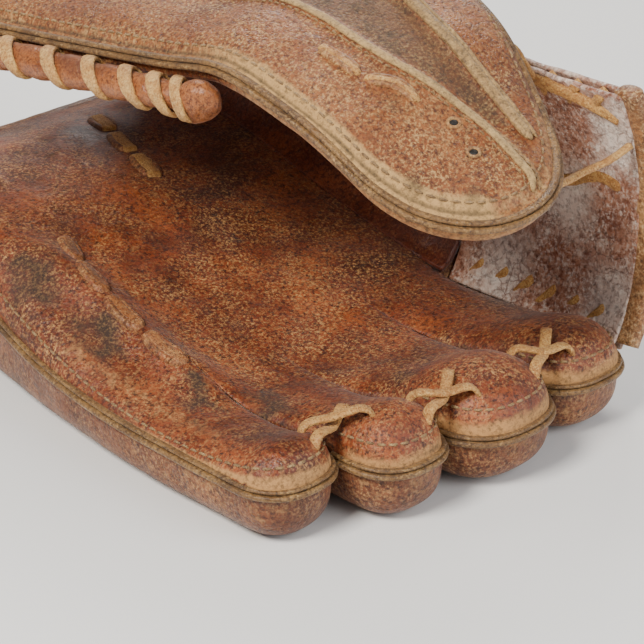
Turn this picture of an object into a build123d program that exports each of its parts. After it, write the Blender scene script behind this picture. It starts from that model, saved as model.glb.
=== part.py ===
"""A laced leather fielder's glove for the left hand, lying on its back and closed round the pocket.

The frame: the origin is on the resting plane under the centre of the pocket, +Y runs to the
fingertips, +X to the little-finger edge and +Z up. The finger side lies flat, the pocket wall
stands on its far edge, and the thumb side folds over the top. All sizes are in millimetres.
"""

import os
from build123d import *

# ---- Leather, felt and lace stock ----------------------------------------------------------------
LEATHER = 2.6  # shell leather
LINING = 1.2  # soft lining leather
FELT = 4.0  # felt under the palm leather
HEEL_FELT = 8.0  # extra felt at the heel of the palm
WELT = 1.6  # thickness of the welt strip sewn in a seam
WELT_OUT = 1.4  # how far a welt stands out of its seam
LACE_WIDTH = 4.6
THIN_LACE_WIDTH = 2.6  # the lace that ties the fingertips together
LACE_THICK = 1.6
SEAT = 0.05  # hairline between pieces that are sewn face to face

# ---- Finger row ----------------------------------------------------------------------------------
EDGE_X = 50.0  # outer edge of the little finger
FINGER_GAP = 3.0  # room between two fingers for their welts
FINGER_WIDTH = {"little": 29.0, "ring": 28.0, "middle": 39.0, "index": 34.5}
FINGERTIP_Y = {"little": 34.0, "ring": 48.0, "middle": 55.0, "index": 50.0}
TIP_ROUND = 0.42  # corner radius of a fingertip as a share of the finger's width
KNUCKLE_Y = -40.0  # where the finger stalls leave the palm
KNUCKLE_CLEAR = 0.6  # half the opening between the stalls and the palm
SEAM_Z = 16.0  # height of the seam between a finger's back and its front
BACK_ROUND = 7.0  # rounding of a finger's back
POCKET_Z = 25.0  # top of the leather in the pocket
TIP_PAD_Z = 33.0  # top of the fat fingertips
TIP_LACE_CLEAR = 0.4  # the crossed laces lie this far above the fingertips
TIP_LACE_BACK = 8.0  # from the shorter of the two fingertips back to the crossing
TIP_LACE_ARM = 13.0
TIP_LACE_TILT = 38.0  # degrees from the x axis

# ---- Palm and heel -------------------------------------------------------------------------------
HEEL_Y = -186.0  # wrist edge
PALM_FAR_OUT = 0.5  # the flat palm's far edge lies this far outside the index finger
PALM_EDGE_KNUCKLE_X = 49.0
PALM_EDGE_HEEL_X = 24.0
PALM_PROFILE = [
    (KNUCKLE_Y, POCKET_Z),
    (-58.0, 28.0),
    (-90.0, 38.0),
    (-130.0, 49.0),
    (-160.0, 52.0),
    (HEEL_Y, 48.0),
]
HEEL_FELT_START_Y = -96.0
PALM_LACE = [(-50.0, -158.0), (-45.5, -132.0), (-40.5, -114.0)]  # x, y along its middle
LITTLE_FINGER_LACE = [(9.0, -103.0), (18.5, -76.0), (24.0, -45.0)]
BACK_FLAT_Y = -142.0  # the back rests flat to here, then lifts to the wrist
BACK_LIFT = 10.0
WINDOW_Y = (-136.0, -104.0)  # the opening over the back of the hand
WINDOW_X = (-50.0, 10.0)
WINDOW_ROUND = 12.0
SPLIT_X = (-26.0, -14.0)  # the split in the wrist half of the back
BINDING = 1.2  # thickness of the tape on the edges of openings
BINDING_WIDTH = 4.0
FLEECE = 3.0

# ---- Wrist strap, laced across the split -----------------------------------------------------------
STRAP_Y = (-182.0, -160.0)
STRAP_X = (-62.0, 16.0)
STRAP_STITCH_X = (-58.0, -48.0, 2.0, 10.0)  # where its holding stitches of lace lie
STITCH_WIDTH = 3.0

# ---- Pocket wall and web, which curve between the two fold creases ---------------------------------
CREASE_CLEAR = 4.3  # from the index finger's side to the wall's lower edge
CREASE_Z = 18.1  # height of the wall's lower edge
WALL_RADIUS = 92.5  # to the inner face
WALL_ANGLES = (149.5, 203.5)  # degrees round the centre, from the thumb crease to the finger crease
CROTCH_Y = -30.0  # where the wall stops and the web begins
WEB_TOP_Y = 45.0
WEB_LEATHER = 1.8
WEB_BAND = 9.0  # width of the arch band along the top of the web
WEB_BAND_PROUD = 1.6
WEB_STITCHES = 6
WEB_STITCH_ANGLE = 5.0  # degrees of the bend that one lacing stitch covers
WEB_CROSS_ANGLES = (172.0, 175.0)  # degrees of the bend that the cross lace covers
WEB_CROSS_SHORT = 12.0  # how much shorter than the web the cross lace is

# ---- Thumb side ----------------------------------------------------------------------------------
THUMB_SLOPE = 0.22  # the thumb's back rises by this much for each unit towards the web
THUMB_OUTER_X = 2.0
THUMB_OUTER_HEEL_X = 10.0
THUMB_CREASE_GAP = 10.7  # from the wall's upper edge to the thumb side
THUMB_BASE_Y = -45.0
THUMB_TIP_START_Y = 4.0  # where the outer edge starts to round over to the tip
THUMB_TIP_END_Y = -36.0  # where the tip's curve meets the web side
THUMB_UNDER = [(HEEL_Y, 94.0), (-100.0, 99.5), (-60.0, 103.0), (-36.0, 106.0), (-15.0, 102.0),
               (8.0, 93.5), (22.0, 83.0), (32.0, 76.0), (45.0, 69.0), (64.0, 61.0)]
THUMB_OVER = [(HEEL_Y, 112.0), (-100.0, 116.0), (-60.0, 120.0), (-36.0, 121.5), (-20.0, 119.0),
              (5.0, 110.0), (18.0, 101.0), (30.0, 92.0), (45.0, 84.5), (64.0, 76.0)]
INNER_WELT_WAY = [(-26, -24), (-28, 4), (-34, 18), (-38, 30), (-39, 42)]  # x, y on the thumb's back
INNER_WELT_WIDTH = 2.0
THUMB_LACE_WAY = [(-17, -10), (-18, 2), (-23, 9), (-25, 16)]
HEEL_ROLL_RADIUS = 4.5
HEEL_ROLL_ENDS = ((-47.0, 103.0), (-180.0, 94.5))  # y, z of its two ends
HEEL_WRAPS = 5
HEEL_WRAP_START = 8.0  # from the roll's finger end to its first wrap
HEEL_WRAP_END = 22.0  # from the last wrap to the roll's wrist end

ABOVE = 160.0  # higher than the glove, for shapes that are cut to a plan


def finger_edges():
    """Each finger's low and high x, counted from the little finger's outer edge."""
    edges, high = {}, EDGE_X
    for name, width in FINGER_WIDTH.items():
        edges[name] = (high - width, high)
        high -= width + FINGER_GAP
    return edges


FINGER_EDGES = finger_edges()
FAR_FINGER_X = min(low for low, high in FINGER_EDGES.values())
PALM_FAR_X = FAR_FINGER_X - PALM_FAR_OUT
# The wall bends round this centre, so that its lower edge stands beside the index finger.
WALL_LOW = Vector(1, 0).rotate(Axis.Z, WALL_ANGLES[1]) * WALL_RADIUS
WALL_HIGH = Vector(1, 0).rotate(Axis.Z, WALL_ANGLES[0]) * WALL_RADIUS
WALL_CENTRE = (FAR_FINGER_X - CREASE_CLEAR - WALL_LOW.X, CREASE_Z - WALL_LOW.Y)
THUMB_INNER_X = WALL_CENTRE[0] + WALL_HIGH.X + THUMB_CREASE_GAP
ROOT_Y = KNUCKLE_Y + KNUCKLE_CLEAR  # where the finger pieces start
PALM_END_Y = KNUCKLE_Y - KNUCKLE_CLEAR  # where the palm pieces end


def raised(line, rise):
    """The same line, moved up."""
    return [(y, z + rise) for y, z in line]


def save(piece, label):
    """Labels a finished piece and writes it as its own file."""
    piece.label = label
    export_step(piece, f"parts/{label}.step")


def draw_band(low_line, high_line):
    """A closed strip on the YZ plane between two smooth lines, given from the wrist outwards."""
    with BuildLine() as outline:
        bottom = Spline(low_line)
        top = Spline(high_line)
        Line(bottom @ 0, top @ 0)
        Line(bottom @ 1, top @ 1)
    make_face(outline.edges())


def draw_straight_band(low_line, high_line):
    """The same between two lines of straight stretches."""
    with BuildLine() as outline:
        Polyline(*low_line, *reversed(high_line), close=True)
    make_face(outline.edges())


def draw_finger(name, inset=0.0):
    """A finger's plan: straight sides and a broad rounded tip."""
    low, high = FINGER_EDGES[name]
    tip = FINGERTIP_Y[name] - inset
    with Locations(((low + high) / 2, (ROOT_Y + tip) / 2)):
        Rectangle(high - low - 2 * inset, tip - ROOT_Y)
    fillet(vertices().sort_by(Axis.Y)[-2:], TIP_ROUND * (high - low) - inset)


def draw_palm(inset=0.0):
    """The palm's plan, wide at the knuckles and narrow at the wrist; both ends stay full."""
    with BuildLine() as outline:
        Polyline(
            (PALM_FAR_X + inset, PALM_END_Y),
            (PALM_EDGE_KNUCKLE_X - inset, PALM_END_Y),
            (PALM_EDGE_HEEL_X - inset, HEEL_Y),
            (PALM_FAR_X + inset, HEEL_Y),
            close=True,
        )
    make_face(outline.edges())


def draw_thumb(inset=0.0):
    """The thumb side's plan: a long outer edge, and a rounded tip that leans to the web."""
    with BuildLine() as outline:
        outer = Polyline(
            (THUMB_OUTER_HEEL_X - inset, HEEL_Y),
            (THUMB_OUTER_X - inset, THUMB_BASE_Y),
            (THUMB_OUTER_X - inset, THUMB_TIP_START_Y),
        )
        tip = Spline(
            outer @ 1,
            (-9 - 0.8 * inset, 33 - 0.6 * inset),
            (-34, 52 - inset),
            (-53 + 0.9 * inset, 37 - 0.4 * inset),
            (-66 + inset, 4),
            (THUMB_INNER_X + inset, THUMB_TIP_END_Y),
            tangents=((0, 1), (0, -1)),
        )
        Polyline(tip @ 1, (THUMB_INNER_X + inset, HEEL_Y), outer @ 0)
    make_face(outline.edges())


def draw_wall(inner, outer, start, end):
    """A bent strip on the XZ plane round the pocket's centre, between two radii and two angles."""
    with BuildLine() as outline:
        near = CenterArc(WALL_CENTRE, inner, start, end - start)
        far = CenterArc(WALL_CENTRE, outer, start, end - start)
        Line(near @ 0, far @ 0)
        Line(near @ 1, far @ 1)
    make_face(outline.edges())


def finger_top(name):
    """The top of a finger's front: low in the pocket, full at the tip."""
    tip = FINGERTIP_Y[name]
    return [(ROOT_Y, POCKET_Z), (-14.0, POCKET_Z), (tip - 26.0, TIP_PAD_Z - 2.0),
            (tip - 12.0, TIP_PAD_Z), (tip, TIP_PAD_Z - 8.0)]


os.makedirs("parts", exist_ok=True)

# ---- Finger stalls: a back, a welt, a front and its felt for each finger --------------------------
FRONT_Z = SEAM_Z + WELT + 2 * SEAT
for finger, (low_x, high_x) in FINGER_EDGES.items():
    # The back leather is a trough: floor, two sides and a rounded end, open at the knuckle.
    with BuildPart() as finger_back:
        with BuildSketch():
            draw_finger(finger)
        extrude(amount=SEAM_Z)
        rim = finger_back.faces().sort_by(Axis.Z)[0].edges()
        fillet(rim.filter_by(lambda edge: edge.center().Y > ROOT_Y + 1), BACK_ROUND)
        with BuildSketch(Plane.XY.offset(LEATHER)):
            draw_finger(finger, LEATHER)
        extrude(amount=SEAM_Z, mode=Mode.SUBTRACT)
    save(finger_back.part, f"{finger}_finger_back")

    # The welt is a leather strip in the seam, proud of it all round the tip.
    with BuildPart() as finger_welt:
        with BuildSketch(Plane.XY.offset(SEAM_Z + SEAT)):
            draw_finger(finger, -WELT_OUT)
            with BuildSketch(mode=Mode.SUBTRACT):
                draw_finger(finger, LEATHER)
        extrude(amount=WELT)
    save(finger_welt.part, f"{finger}_finger_welt")

    # The front leather is an inverted trough over the felt.
    with BuildPart() as finger_front:
        with BuildSketch(Plane.YZ.offset(low_x)):
            top_line = finger_top(finger)
            draw_band([(ROOT_Y, FRONT_Z), (FINGERTIP_Y[finger], FRONT_Z)], top_line)
        extrude(amount=high_x - low_x)
        with BuildSketch():
            draw_finger(finger)
        extrude(amount=ABOVE, mode=Mode.INTERSECT)
    with BuildPart() as felt_room:
        with BuildSketch(Plane.YZ.offset(low_x)):
            draw_band([(ROOT_Y, FRONT_Z), (FINGERTIP_Y[finger], FRONT_Z)], raised(top_line, -LEATHER))
        extrude(amount=high_x - low_x)
        with BuildSketch():
            draw_finger(finger, LEATHER)
        extrude(amount=ABOVE, mode=Mode.INTERSECT)
    with BuildPart() as finger_front_shell:
        add(finger_front.part)
        add(felt_room.part, mode=Mode.SUBTRACT)
    save(finger_front_shell.part, f"{finger}_finger_front")

    with BuildPart() as finger_felt:
        with BuildSketch(Plane.YZ.offset(low_x)):
            draw_band([(ROOT_Y, FRONT_Z), (FINGERTIP_Y[finger], FRONT_Z)],
                      raised(top_line, -LEATHER - SEAT))
        extrude(amount=high_x - low_x)
        with BuildSketch():
            draw_finger(finger, LEATHER + SEAT)
        extrude(amount=ABOVE, mode=Mode.INTERSECT)
    save(finger_felt.part, f"{finger}_finger_felt")

# ---- Crossed laces that tie each two fingertips together --------------------------------------------
FINGERS = list(FINGER_WIDTH)
for first, second in zip(FINGERS, FINGERS[1:]):
    cross_x = FINGER_EDGES[first][0] - FINGER_GAP / 2
    cross_y = min(FINGERTIP_Y[first], FINGERTIP_Y[second]) - TIP_LACE_BACK
    with BuildPart() as fingertip_lace:
        with BuildSketch(Plane.XY.offset(TIP_PAD_Z + TIP_LACE_CLEAR)):
            with Locations((cross_x, cross_y)):
                Rectangle(TIP_LACE_ARM, THIN_LACE_WIDTH, rotation=TIP_LACE_TILT)
                Rectangle(TIP_LACE_ARM, THIN_LACE_WIDTH, rotation=-TIP_LACE_TILT)
        extrude(amount=LACE_THICK)
    save(fingertip_lace.part, f"{first}_{second}_tip_lace")

# ---- Palm: leather, felt, extra heel felt and lining, all following one profile ---------------------
PALM_LINE = [(PALM_END_Y, POCKET_Z)] + PALM_PROFILE[1:]
FELT_TOP = LEATHER + SEAT
FELT_UNDER = FELT_TOP + FELT
HEEL_DROP = [0.5, 0.5, 1.5, HEEL_FELT, HEEL_FELT, HEEL_FELT]
LINING_LINE = [(y, z - FELT_UNDER - 2 * SEAT - drop) for (y, z), drop in zip(PALM_LINE, HEEL_DROP)]


def make_palm_layer(low_line, high_line, inset):
    """One layer of the palm, cut to the palm's plan."""
    with BuildPart() as layer:
        with BuildSketch(Plane.YZ.offset(PALM_FAR_X)):
            draw_band(low_line, high_line)
        extrude(amount=PALM_EDGE_KNUCKLE_X - PALM_FAR_X)
        with BuildSketch():
            draw_palm(inset)
        extrude(amount=ABOVE, mode=Mode.INTERSECT)
    return layer


palm_leather = make_palm_layer(raised(PALM_LINE, -LEATHER), PALM_LINE, 0.0)
save(palm_leather.part, "palm_leather")

palm_felt = make_palm_layer(
    raised(PALM_LINE, -FELT_UNDER), raised(PALM_LINE, -FELT_TOP), LEATHER + SEAT
)
save(palm_felt.part, "palm_felt")

with BuildPart() as heel_felt:
    add(make_palm_layer(raised(LINING_LINE, SEAT), raised(PALM_LINE, -FELT_UNDER - SEAT),
                        LEATHER + SEAT).part)
    with BuildSketch():
        with Locations(((PALM_FAR_X + PALM_EDGE_KNUCKLE_X) / 2, (HEEL_Y + HEEL_FELT_START_Y) / 2)):
            Rectangle(PALM_EDGE_KNUCKLE_X - PALM_FAR_X, HEEL_FELT_START_Y - HEEL_Y)
    extrude(amount=ABOVE, mode=Mode.INTERSECT)
save(heel_felt.part, "heel_felt")

hand_lining = make_palm_layer(raised(LINING_LINE, -LINING), LINING_LINE, LEATHER + SEAT)
save(hand_lining.part, "hand_lining")

# ---- Back of the hand: a trough that rests flat and lifts to the wrist ------------------------------
BACK_LOW = [(HEEL_Y, BACK_LIFT), (BACK_FLAT_Y, 0.0), (PALM_END_Y, 0.0)]
SIDE_TOP = raised(PALM_LINE, -LEATHER - WELT - 2 * SEAT)


def back_height(y):
    """The height of the back's outer face on its lift to the wrist."""
    return BACK_LIFT * (BACK_FLAT_Y - y) / (BACK_FLAT_Y - HEEL_Y)


with BuildPart() as hand_room:
    with BuildSketch(Plane.YZ.offset(PALM_FAR_X)):
        floor_line = raised(BACK_LOW, LEATHER)
        draw_straight_band(floor_line, [(HEEL_Y, ABOVE), (PALM_END_Y, ABOVE)])
    extrude(amount=PALM_EDGE_KNUCKLE_X - PALM_FAR_X)
    with BuildSketch():
        draw_palm(LEATHER)
    extrude(amount=ABOVE, mode=Mode.INTERSECT)

with BuildPart() as hand_back:
    with BuildSketch(Plane.YZ.offset(PALM_FAR_X)):
        draw_straight_band(BACK_LOW, [(HEEL_Y, ABOVE), (PALM_END_Y, ABOVE)])
    extrude(amount=PALM_EDGE_KNUCKLE_X - PALM_FAR_X)
    with BuildSketch(Plane.YZ.offset(PALM_FAR_X)):
        draw_band([(HEEL_Y, -1.0), (PALM_END_Y, -1.0)], list(reversed(SIDE_TOP)))
    extrude(amount=PALM_EDGE_KNUCKLE_X - PALM_FAR_X, mode=Mode.INTERSECT)
    with BuildSketch():
        draw_palm()
    extrude(amount=ABOVE, mode=Mode.INTERSECT)
    add(hand_room.part, mode=Mode.SUBTRACT)
    with BuildSketch():
        with Locations((sum(WINDOW_X) / 2, sum(WINDOW_Y) / 2)):
            RectangleRounded(WINDOW_X[1] - WINDOW_X[0], WINDOW_Y[1] - WINDOW_Y[0], WINDOW_ROUND)
        with Locations((sum(SPLIT_X) / 2, (HEEL_Y + WINDOW_Y[0]) / 2)):
            Rectangle(SPLIT_X[1] - SPLIT_X[0], WINDOW_Y[0] - HEEL_Y + 4)
    extrude(amount=BACK_LIFT + LEATHER + 2, mode=Mode.SUBTRACT)
save(hand_back.part, "hand_back")

# The tape round the opening over the back of the hand lies on the inner face, up to the split.
with BuildPart() as window_binding:
    with BuildSketch(Plane.XY.offset(LEATHER + SEAT)):
        with Locations((sum(WINDOW_X) / 2, sum(WINDOW_Y) / 2)):
            RectangleRounded(WINDOW_X[1] - WINDOW_X[0] + 2 * BINDING_WIDTH,
                             WINDOW_Y[1] - WINDOW_Y[0] + 2 * BINDING_WIDTH,
                             WINDOW_ROUND + BINDING_WIDTH)
            RectangleRounded(WINDOW_X[1] - WINDOW_X[0], WINDOW_Y[1] - WINDOW_Y[0], WINDOW_ROUND,
                             mode=Mode.SUBTRACT)
        with Locations((sum(SPLIT_X) / 2, WINDOW_Y[0])):
            Rectangle(SPLIT_X[1] - SPLIT_X[0], 3 * BINDING_WIDTH, mode=Mode.SUBTRACT)
    extrude(amount=BINDING)
save(window_binding.part, "window_binding")

# The tape on the wrist edge goes round the hand's way in, and stops at the split.
with BuildPart() as wrist_binding:
    with BuildSketch(Plane.XZ.offset(-HEEL_Y + SEAT)):
        with Locations(((PALM_FAR_X + PALM_EDGE_HEEL_X) / 2, (BACK_LIFT + PALM_PROFILE[-1][1]) / 2)):
            Rectangle(PALM_EDGE_HEEL_X - PALM_FAR_X, PALM_PROFILE[-1][1] - BACK_LIFT)
            Rectangle(PALM_EDGE_HEEL_X - PALM_FAR_X - 2 * LEATHER,
                      PALM_PROFILE[-1][1] - BACK_LIFT - 2 * LEATHER, mode=Mode.SUBTRACT)
        with Locations((sum(SPLIT_X) / 2, BACK_LIFT)):
            Rectangle(SPLIT_X[1] - SPLIT_X[0], 3 * LEATHER, mode=Mode.SUBTRACT)
    extrude(amount=BINDING)
save(wrist_binding.part, "wrist_binding")

# Fleece pads the inside of the back at the wrist, on both sides of the split.
with BuildPart() as wrist_fleece:
    with BuildSketch(Plane.YZ.offset(STRAP_X[0])):
        fleece_line = [(STRAP_Y[0], back_height(STRAP_Y[0]) + LEATHER + SEAT),
                       (STRAP_Y[1] + 8, back_height(STRAP_Y[1] + 8) + LEATHER + SEAT)]
        draw_straight_band(fleece_line, raised(fleece_line, FLEECE))
    extrude(amount=STRAP_X[1] - STRAP_X[0])
    with BuildSketch():
        with Locations((sum(SPLIT_X) / 2, sum(STRAP_Y) / 2)):
            Rectangle(SPLIT_X[1] - SPLIT_X[0], 2 * (STRAP_Y[1] - STRAP_Y[0]))
    extrude(amount=ABOVE, mode=Mode.SUBTRACT)
save(wrist_fleece.part, "wrist_fleece")

# The strap crosses the split on the outside and is held by stitches of lace at both ends.
strap_line = [(STRAP_Y[0], back_height(STRAP_Y[0]) - SEAT), (STRAP_Y[1], back_height(STRAP_Y[1]) - SEAT)]
with BuildPart() as wrist_strap:
    with BuildSketch(Plane.YZ.offset(STRAP_X[0])):
        draw_straight_band(raised(strap_line, -LEATHER), strap_line)
    extrude(amount=STRAP_X[1] - STRAP_X[0])
    strap_ends = wrist_strap.edges().filter_by(lambda edge: abs(edge.length - LEATHER) < 0.1)
    fillet(strap_ends, 5)
save(wrist_strap.part, "wrist_strap")

stitch_line = [(y, z - LEATHER - SEAT) for y, z in strap_line]
with BuildPart() as strap_lace:
    for stitch_x in STRAP_STITCH_X:
        with BuildSketch(Plane.YZ.offset(stitch_x)):
            draw_straight_band(raised(stitch_line, -1.2), stitch_line)
        extrude(amount=STITCH_WIDTH)
    with BuildSketch():
        with Locations((sum(STRAP_X) / 2, sum(STRAP_Y) / 2)):
            Rectangle(2 * (STRAP_X[1] - STRAP_X[0]), STRAP_Y[1] - STRAP_Y[0] - 8)
    extrude(amount=ABOVE, mode=Mode.INTERSECT)
save(strap_lace.part, "strap_lace")

# The welt in the seam along the little-finger side.
with BuildPart() as side_welt:
    with BuildSketch(Plane.YZ.offset(PALM_EDGE_HEEL_X - 10)):
        draw_band(raised(PALM_LINE, -LEATHER - SEAT - WELT), raised(PALM_LINE, -LEATHER - SEAT))
    extrude(amount=40)
    with BuildSketch():
        with BuildLine():
            Polyline(
                (PALM_EDGE_KNUCKLE_X - LEATHER, PALM_END_Y),
                (PALM_EDGE_KNUCKLE_X + WELT_OUT, PALM_END_Y),
                (PALM_EDGE_HEEL_X + WELT_OUT, HEEL_Y),
                (PALM_EDGE_HEEL_X - LEATHER, HEEL_Y),
                close=True,
            )
        make_face()
    extrude(amount=ABOVE, mode=Mode.INTERSECT)
save(side_welt.part, "little_side_welt")


def make_palm_lace(way):
    """A flat lace that lies on the palm leather, along a way drawn on the palm."""
    with BuildPart() as lace:
        with BuildSketch(Plane.YZ.offset(PALM_FAR_X)):
            draw_band(raised(PALM_LINE, SEAT), raised(PALM_LINE, SEAT + LACE_THICK))
        extrude(amount=PALM_EDGE_KNUCKLE_X - PALM_FAR_X)
        with BuildSketch():
            with BuildLine():
                Spline(way)
            trace(line_width=LACE_WIDTH)
        extrude(amount=ABOVE, mode=Mode.INTERSECT)
    return lace.part


save(make_palm_lace(PALM_LACE), "palm_lace")
save(make_palm_lace(LITTLE_FINGER_LACE), "little_finger_lace")

# ---- Pocket wall: leather, felt and back, bent along the whole far side ----------------------------
WALL_LAYERS = {"pocket_leather": LEATHER, "pocket_felt": FELT, "pocket_back": LEATHER}
layer_radius = WALL_RADIUS
for layer_name, thickness in WALL_LAYERS.items():
    with BuildPart() as wall_layer:
        with BuildSketch(Plane.XZ.offset(-CROTCH_Y)):
            draw_wall(layer_radius, layer_radius + thickness, *WALL_ANGLES)
        extrude(amount=CROTCH_Y - HEEL_Y)
    save(wall_layer.part, layer_name)
    layer_radius += thickness + SEAT

# The web is two panels laced to the finger and thumb sides, with an arch band along its top.
WEB_LOW_Y = CROTCH_Y + 0.3
WEB_BAND_Y = WEB_TOP_Y - WEB_BAND
for panel_name, panel_radius in {
    "web_inner_panel": WALL_RADIUS,
    "web_outer_panel": WALL_RADIUS + WEB_LEATHER + SEAT,
}.items():
    with BuildPart() as web_panel:
        with BuildSketch(Plane.XZ.offset(-WEB_BAND_Y + SEAT)):
            draw_wall(panel_radius, panel_radius + WEB_LEATHER, *WALL_ANGLES)
        extrude(amount=WEB_BAND_Y - SEAT - WEB_LOW_Y)
    save(web_panel.part, panel_name)

with BuildPart() as web_top_band:
    with BuildSketch(Plane.XZ.offset(-WEB_TOP_Y)):
        draw_wall(WALL_RADIUS - WEB_BAND_PROUD, WALL_RADIUS + 2 * WEB_LEATHER + WEB_BAND_PROUD,
                  *WALL_ANGLES)
    extrude(amount=WEB_BAND)
save(web_top_band.part, "web_top_band")

web_sides = {
    "web_lace_thumb_side": WALL_ANGLES[0] + 1,
    "web_lace_index_side": WALL_ANGLES[1] - 1 - WEB_STITCH_ANGLE,
}
stitch_pitch = (WEB_BAND_Y - WEB_LOW_Y) / WEB_STITCHES
for lace_name, start_angle in web_sides.items():
    with BuildPart() as web_side_lace:
        for stitch in range(WEB_STITCHES):
            stitch_y = WEB_LOW_Y + (stitch + 0.75) * stitch_pitch
            with BuildSketch(Plane.XZ.offset(-stitch_y)):
                draw_wall(WALL_RADIUS - SEAT - LACE_THICK, WALL_RADIUS - SEAT, start_angle,
                          start_angle + WEB_STITCH_ANGLE)
            extrude(amount=LACE_WIDTH)
    save(web_side_lace.part, lace_name)

with BuildPart() as web_cross_lace:
    with BuildSketch(Plane.XZ.offset(-WEB_BAND_Y + 4)):
        draw_wall(WALL_RADIUS - SEAT - LACE_THICK, WALL_RADIUS - SEAT, *WEB_CROSS_ANGLES)
    extrude(amount=WEB_BAND_Y - WEB_LOW_Y - WEB_CROSS_SHORT)
save(web_cross_lace.part, "web_cross_lace")

# ---- Thumb side: a padded front, a welt all round, and a back whose top slopes up to the web --------
THUMB_SEAM = LEATHER + FELT + SEAT  # the front's side reaches this far above its underside
THUMB_BACK_START = THUMB_SEAM + WELT + 2 * SEAT
THUMB_SPAN = THUMB_OUTER_HEEL_X - THUMB_INNER_X


def make_thumb_layer(low_line, high_line, inset):
    """A layer of the thumb side between two lines, level across, cut to the thumb's plan."""
    with BuildPart() as layer:
        with BuildSketch(Plane.YZ.offset(THUMB_INNER_X - 5)):
            draw_band(low_line, high_line)
        extrude(amount=THUMB_SPAN + 10)
        with BuildSketch():
            draw_thumb(inset)
        extrude(amount=ABOVE, mode=Mode.INTERSECT)
    return layer.part


def make_sloped_slab(low_rise, high_rise):
    """The space between two lifts of the thumb's sloping top."""
    start_x = THUMB_INNER_X - 5
    start_rise = -THUMB_SLOPE * start_x
    with BuildPart() as slab:
        with BuildSketch(Plane.YZ.offset(start_x)):
            draw_band(raised(THUMB_OVER, start_rise + low_rise), raised(THUMB_OVER, start_rise + high_rise))
        extrude(amount=THUMB_SPAN + 10, dir=(1, 0, -THUMB_SLOPE))
    return slab.part


under_ceiling = [(HEEL_Y, ABOVE), (THUMB_UNDER[-1][0], ABOVE)]
with BuildPart() as thumb_front:
    add(make_thumb_layer(THUMB_UNDER, raised(THUMB_UNDER, THUMB_SEAM), 0.0))
    add(make_thumb_layer(raised(THUMB_UNDER, LEATHER), under_ceiling, LEATHER), mode=Mode.SUBTRACT)
save(thumb_front.part, "thumb_front")

thumb_felt = make_thumb_layer(
    raised(THUMB_UNDER, LEATHER + SEAT), raised(THUMB_UNDER, THUMB_SEAM), LEATHER + SEAT
)
save(thumb_felt, "thumb_felt")

with BuildPart() as thumb_welt:
    welt_low = raised(THUMB_UNDER, THUMB_SEAM + SEAT)
    add(make_thumb_layer(welt_low, raised(welt_low, WELT), -WELT_OUT))
    add(make_thumb_layer(raised(welt_low, -1), raised(welt_low, WELT + 1), LEATHER), mode=Mode.SUBTRACT)
save(thumb_welt.part, "thumb_welt")

with BuildPart() as thumb_back:
    add(make_thumb_layer(raised(THUMB_UNDER, THUMB_BACK_START), under_ceiling, 0.0))
    add(make_sloped_slab(-60, 0), mode=Mode.INTERSECT)
with BuildPart() as thumb_room:
    add(make_thumb_layer(THUMB_UNDER, under_ceiling, LEATHER))
    add(make_sloped_slab(-60, -LEATHER), mode=Mode.INTERSECT)
with BuildPart() as thumb_back_shell:
    add(thumb_back.part)
    add(thumb_room.part, mode=Mode.SUBTRACT)
save(thumb_back_shell.part, "thumb_back")


def make_top_strip(points, width, thickness):
    """A strip that follows a line on the thumb's sloping back."""
    with BuildPart() as strip:
        add(make_sloped_slab(SEAT, thickness + SEAT))
        with BuildSketch():
            with BuildLine():
                Spline(points)
            trace(line_width=width)
        extrude(amount=ABOVE, mode=Mode.INTERSECT)
    return strip.part


save(make_top_strip(INNER_WELT_WAY, INNER_WELT_WIDTH, WELT), "thumb_inner_welt")
save(make_top_strip(THUMB_LACE_WAY, THIN_LACE_WIDTH, LACE_THICK), "thumb_lace")

# The laced heel roll runs along the thumb's outer edge, with slanting wraps of lace round it.


def outer_edge_x(y):
    """The thumb side's outer edge at y, between the thumb's base and the wrist."""
    share = (THUMB_BASE_Y - y) / (THUMB_BASE_Y - HEEL_Y)
    return THUMB_OUTER_X + share * (THUMB_OUTER_HEEL_X - THUMB_OUTER_X)


roll_start, roll_end = (
    Vector(outer_edge_x(y) + HEEL_ROLL_RADIUS + 2 * SEAT, y, z) for y, z in HEEL_ROLL_ENDS
)
roll_way = (roll_end - roll_start).normalized()
roll_length = (roll_end - roll_start).length
with BuildPart() as heel_roll:
    with BuildSketch(Plane(origin=roll_start, z_dir=roll_way)):
        Circle(HEEL_ROLL_RADIUS)
    extrude(amount=roll_length)
save(heel_roll.part, "heel_roll")

with BuildPart() as heel_lace:
    for wrap in range(HEEL_WRAPS):
        wrap_pitch = (roll_length - HEEL_WRAP_START - HEEL_WRAP_END) / (HEEL_WRAPS - 1)
        wrap_start = roll_start + roll_way * (HEEL_WRAP_START + wrap * wrap_pitch)
        with BuildSketch(Plane(origin=wrap_start, z_dir=roll_way)):
            Circle(HEEL_ROLL_RADIUS + SEAT + LACE_THICK)
            Circle(HEEL_ROLL_RADIUS + SEAT, mode=Mode.SUBTRACT)
        extrude(amount=LACE_WIDTH)
    with BuildSketch():
        draw_thumb(-WELT_OUT - SEAT)
    extrude(amount=ABOVE, mode=Mode.SUBTRACT)
save(heel_lace.part, "heel_lace")
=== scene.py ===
import math

import bpy
import numpy as np
from mathutils import Matrix, Vector
from mathutils.bvhtree import BVHTree


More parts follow.
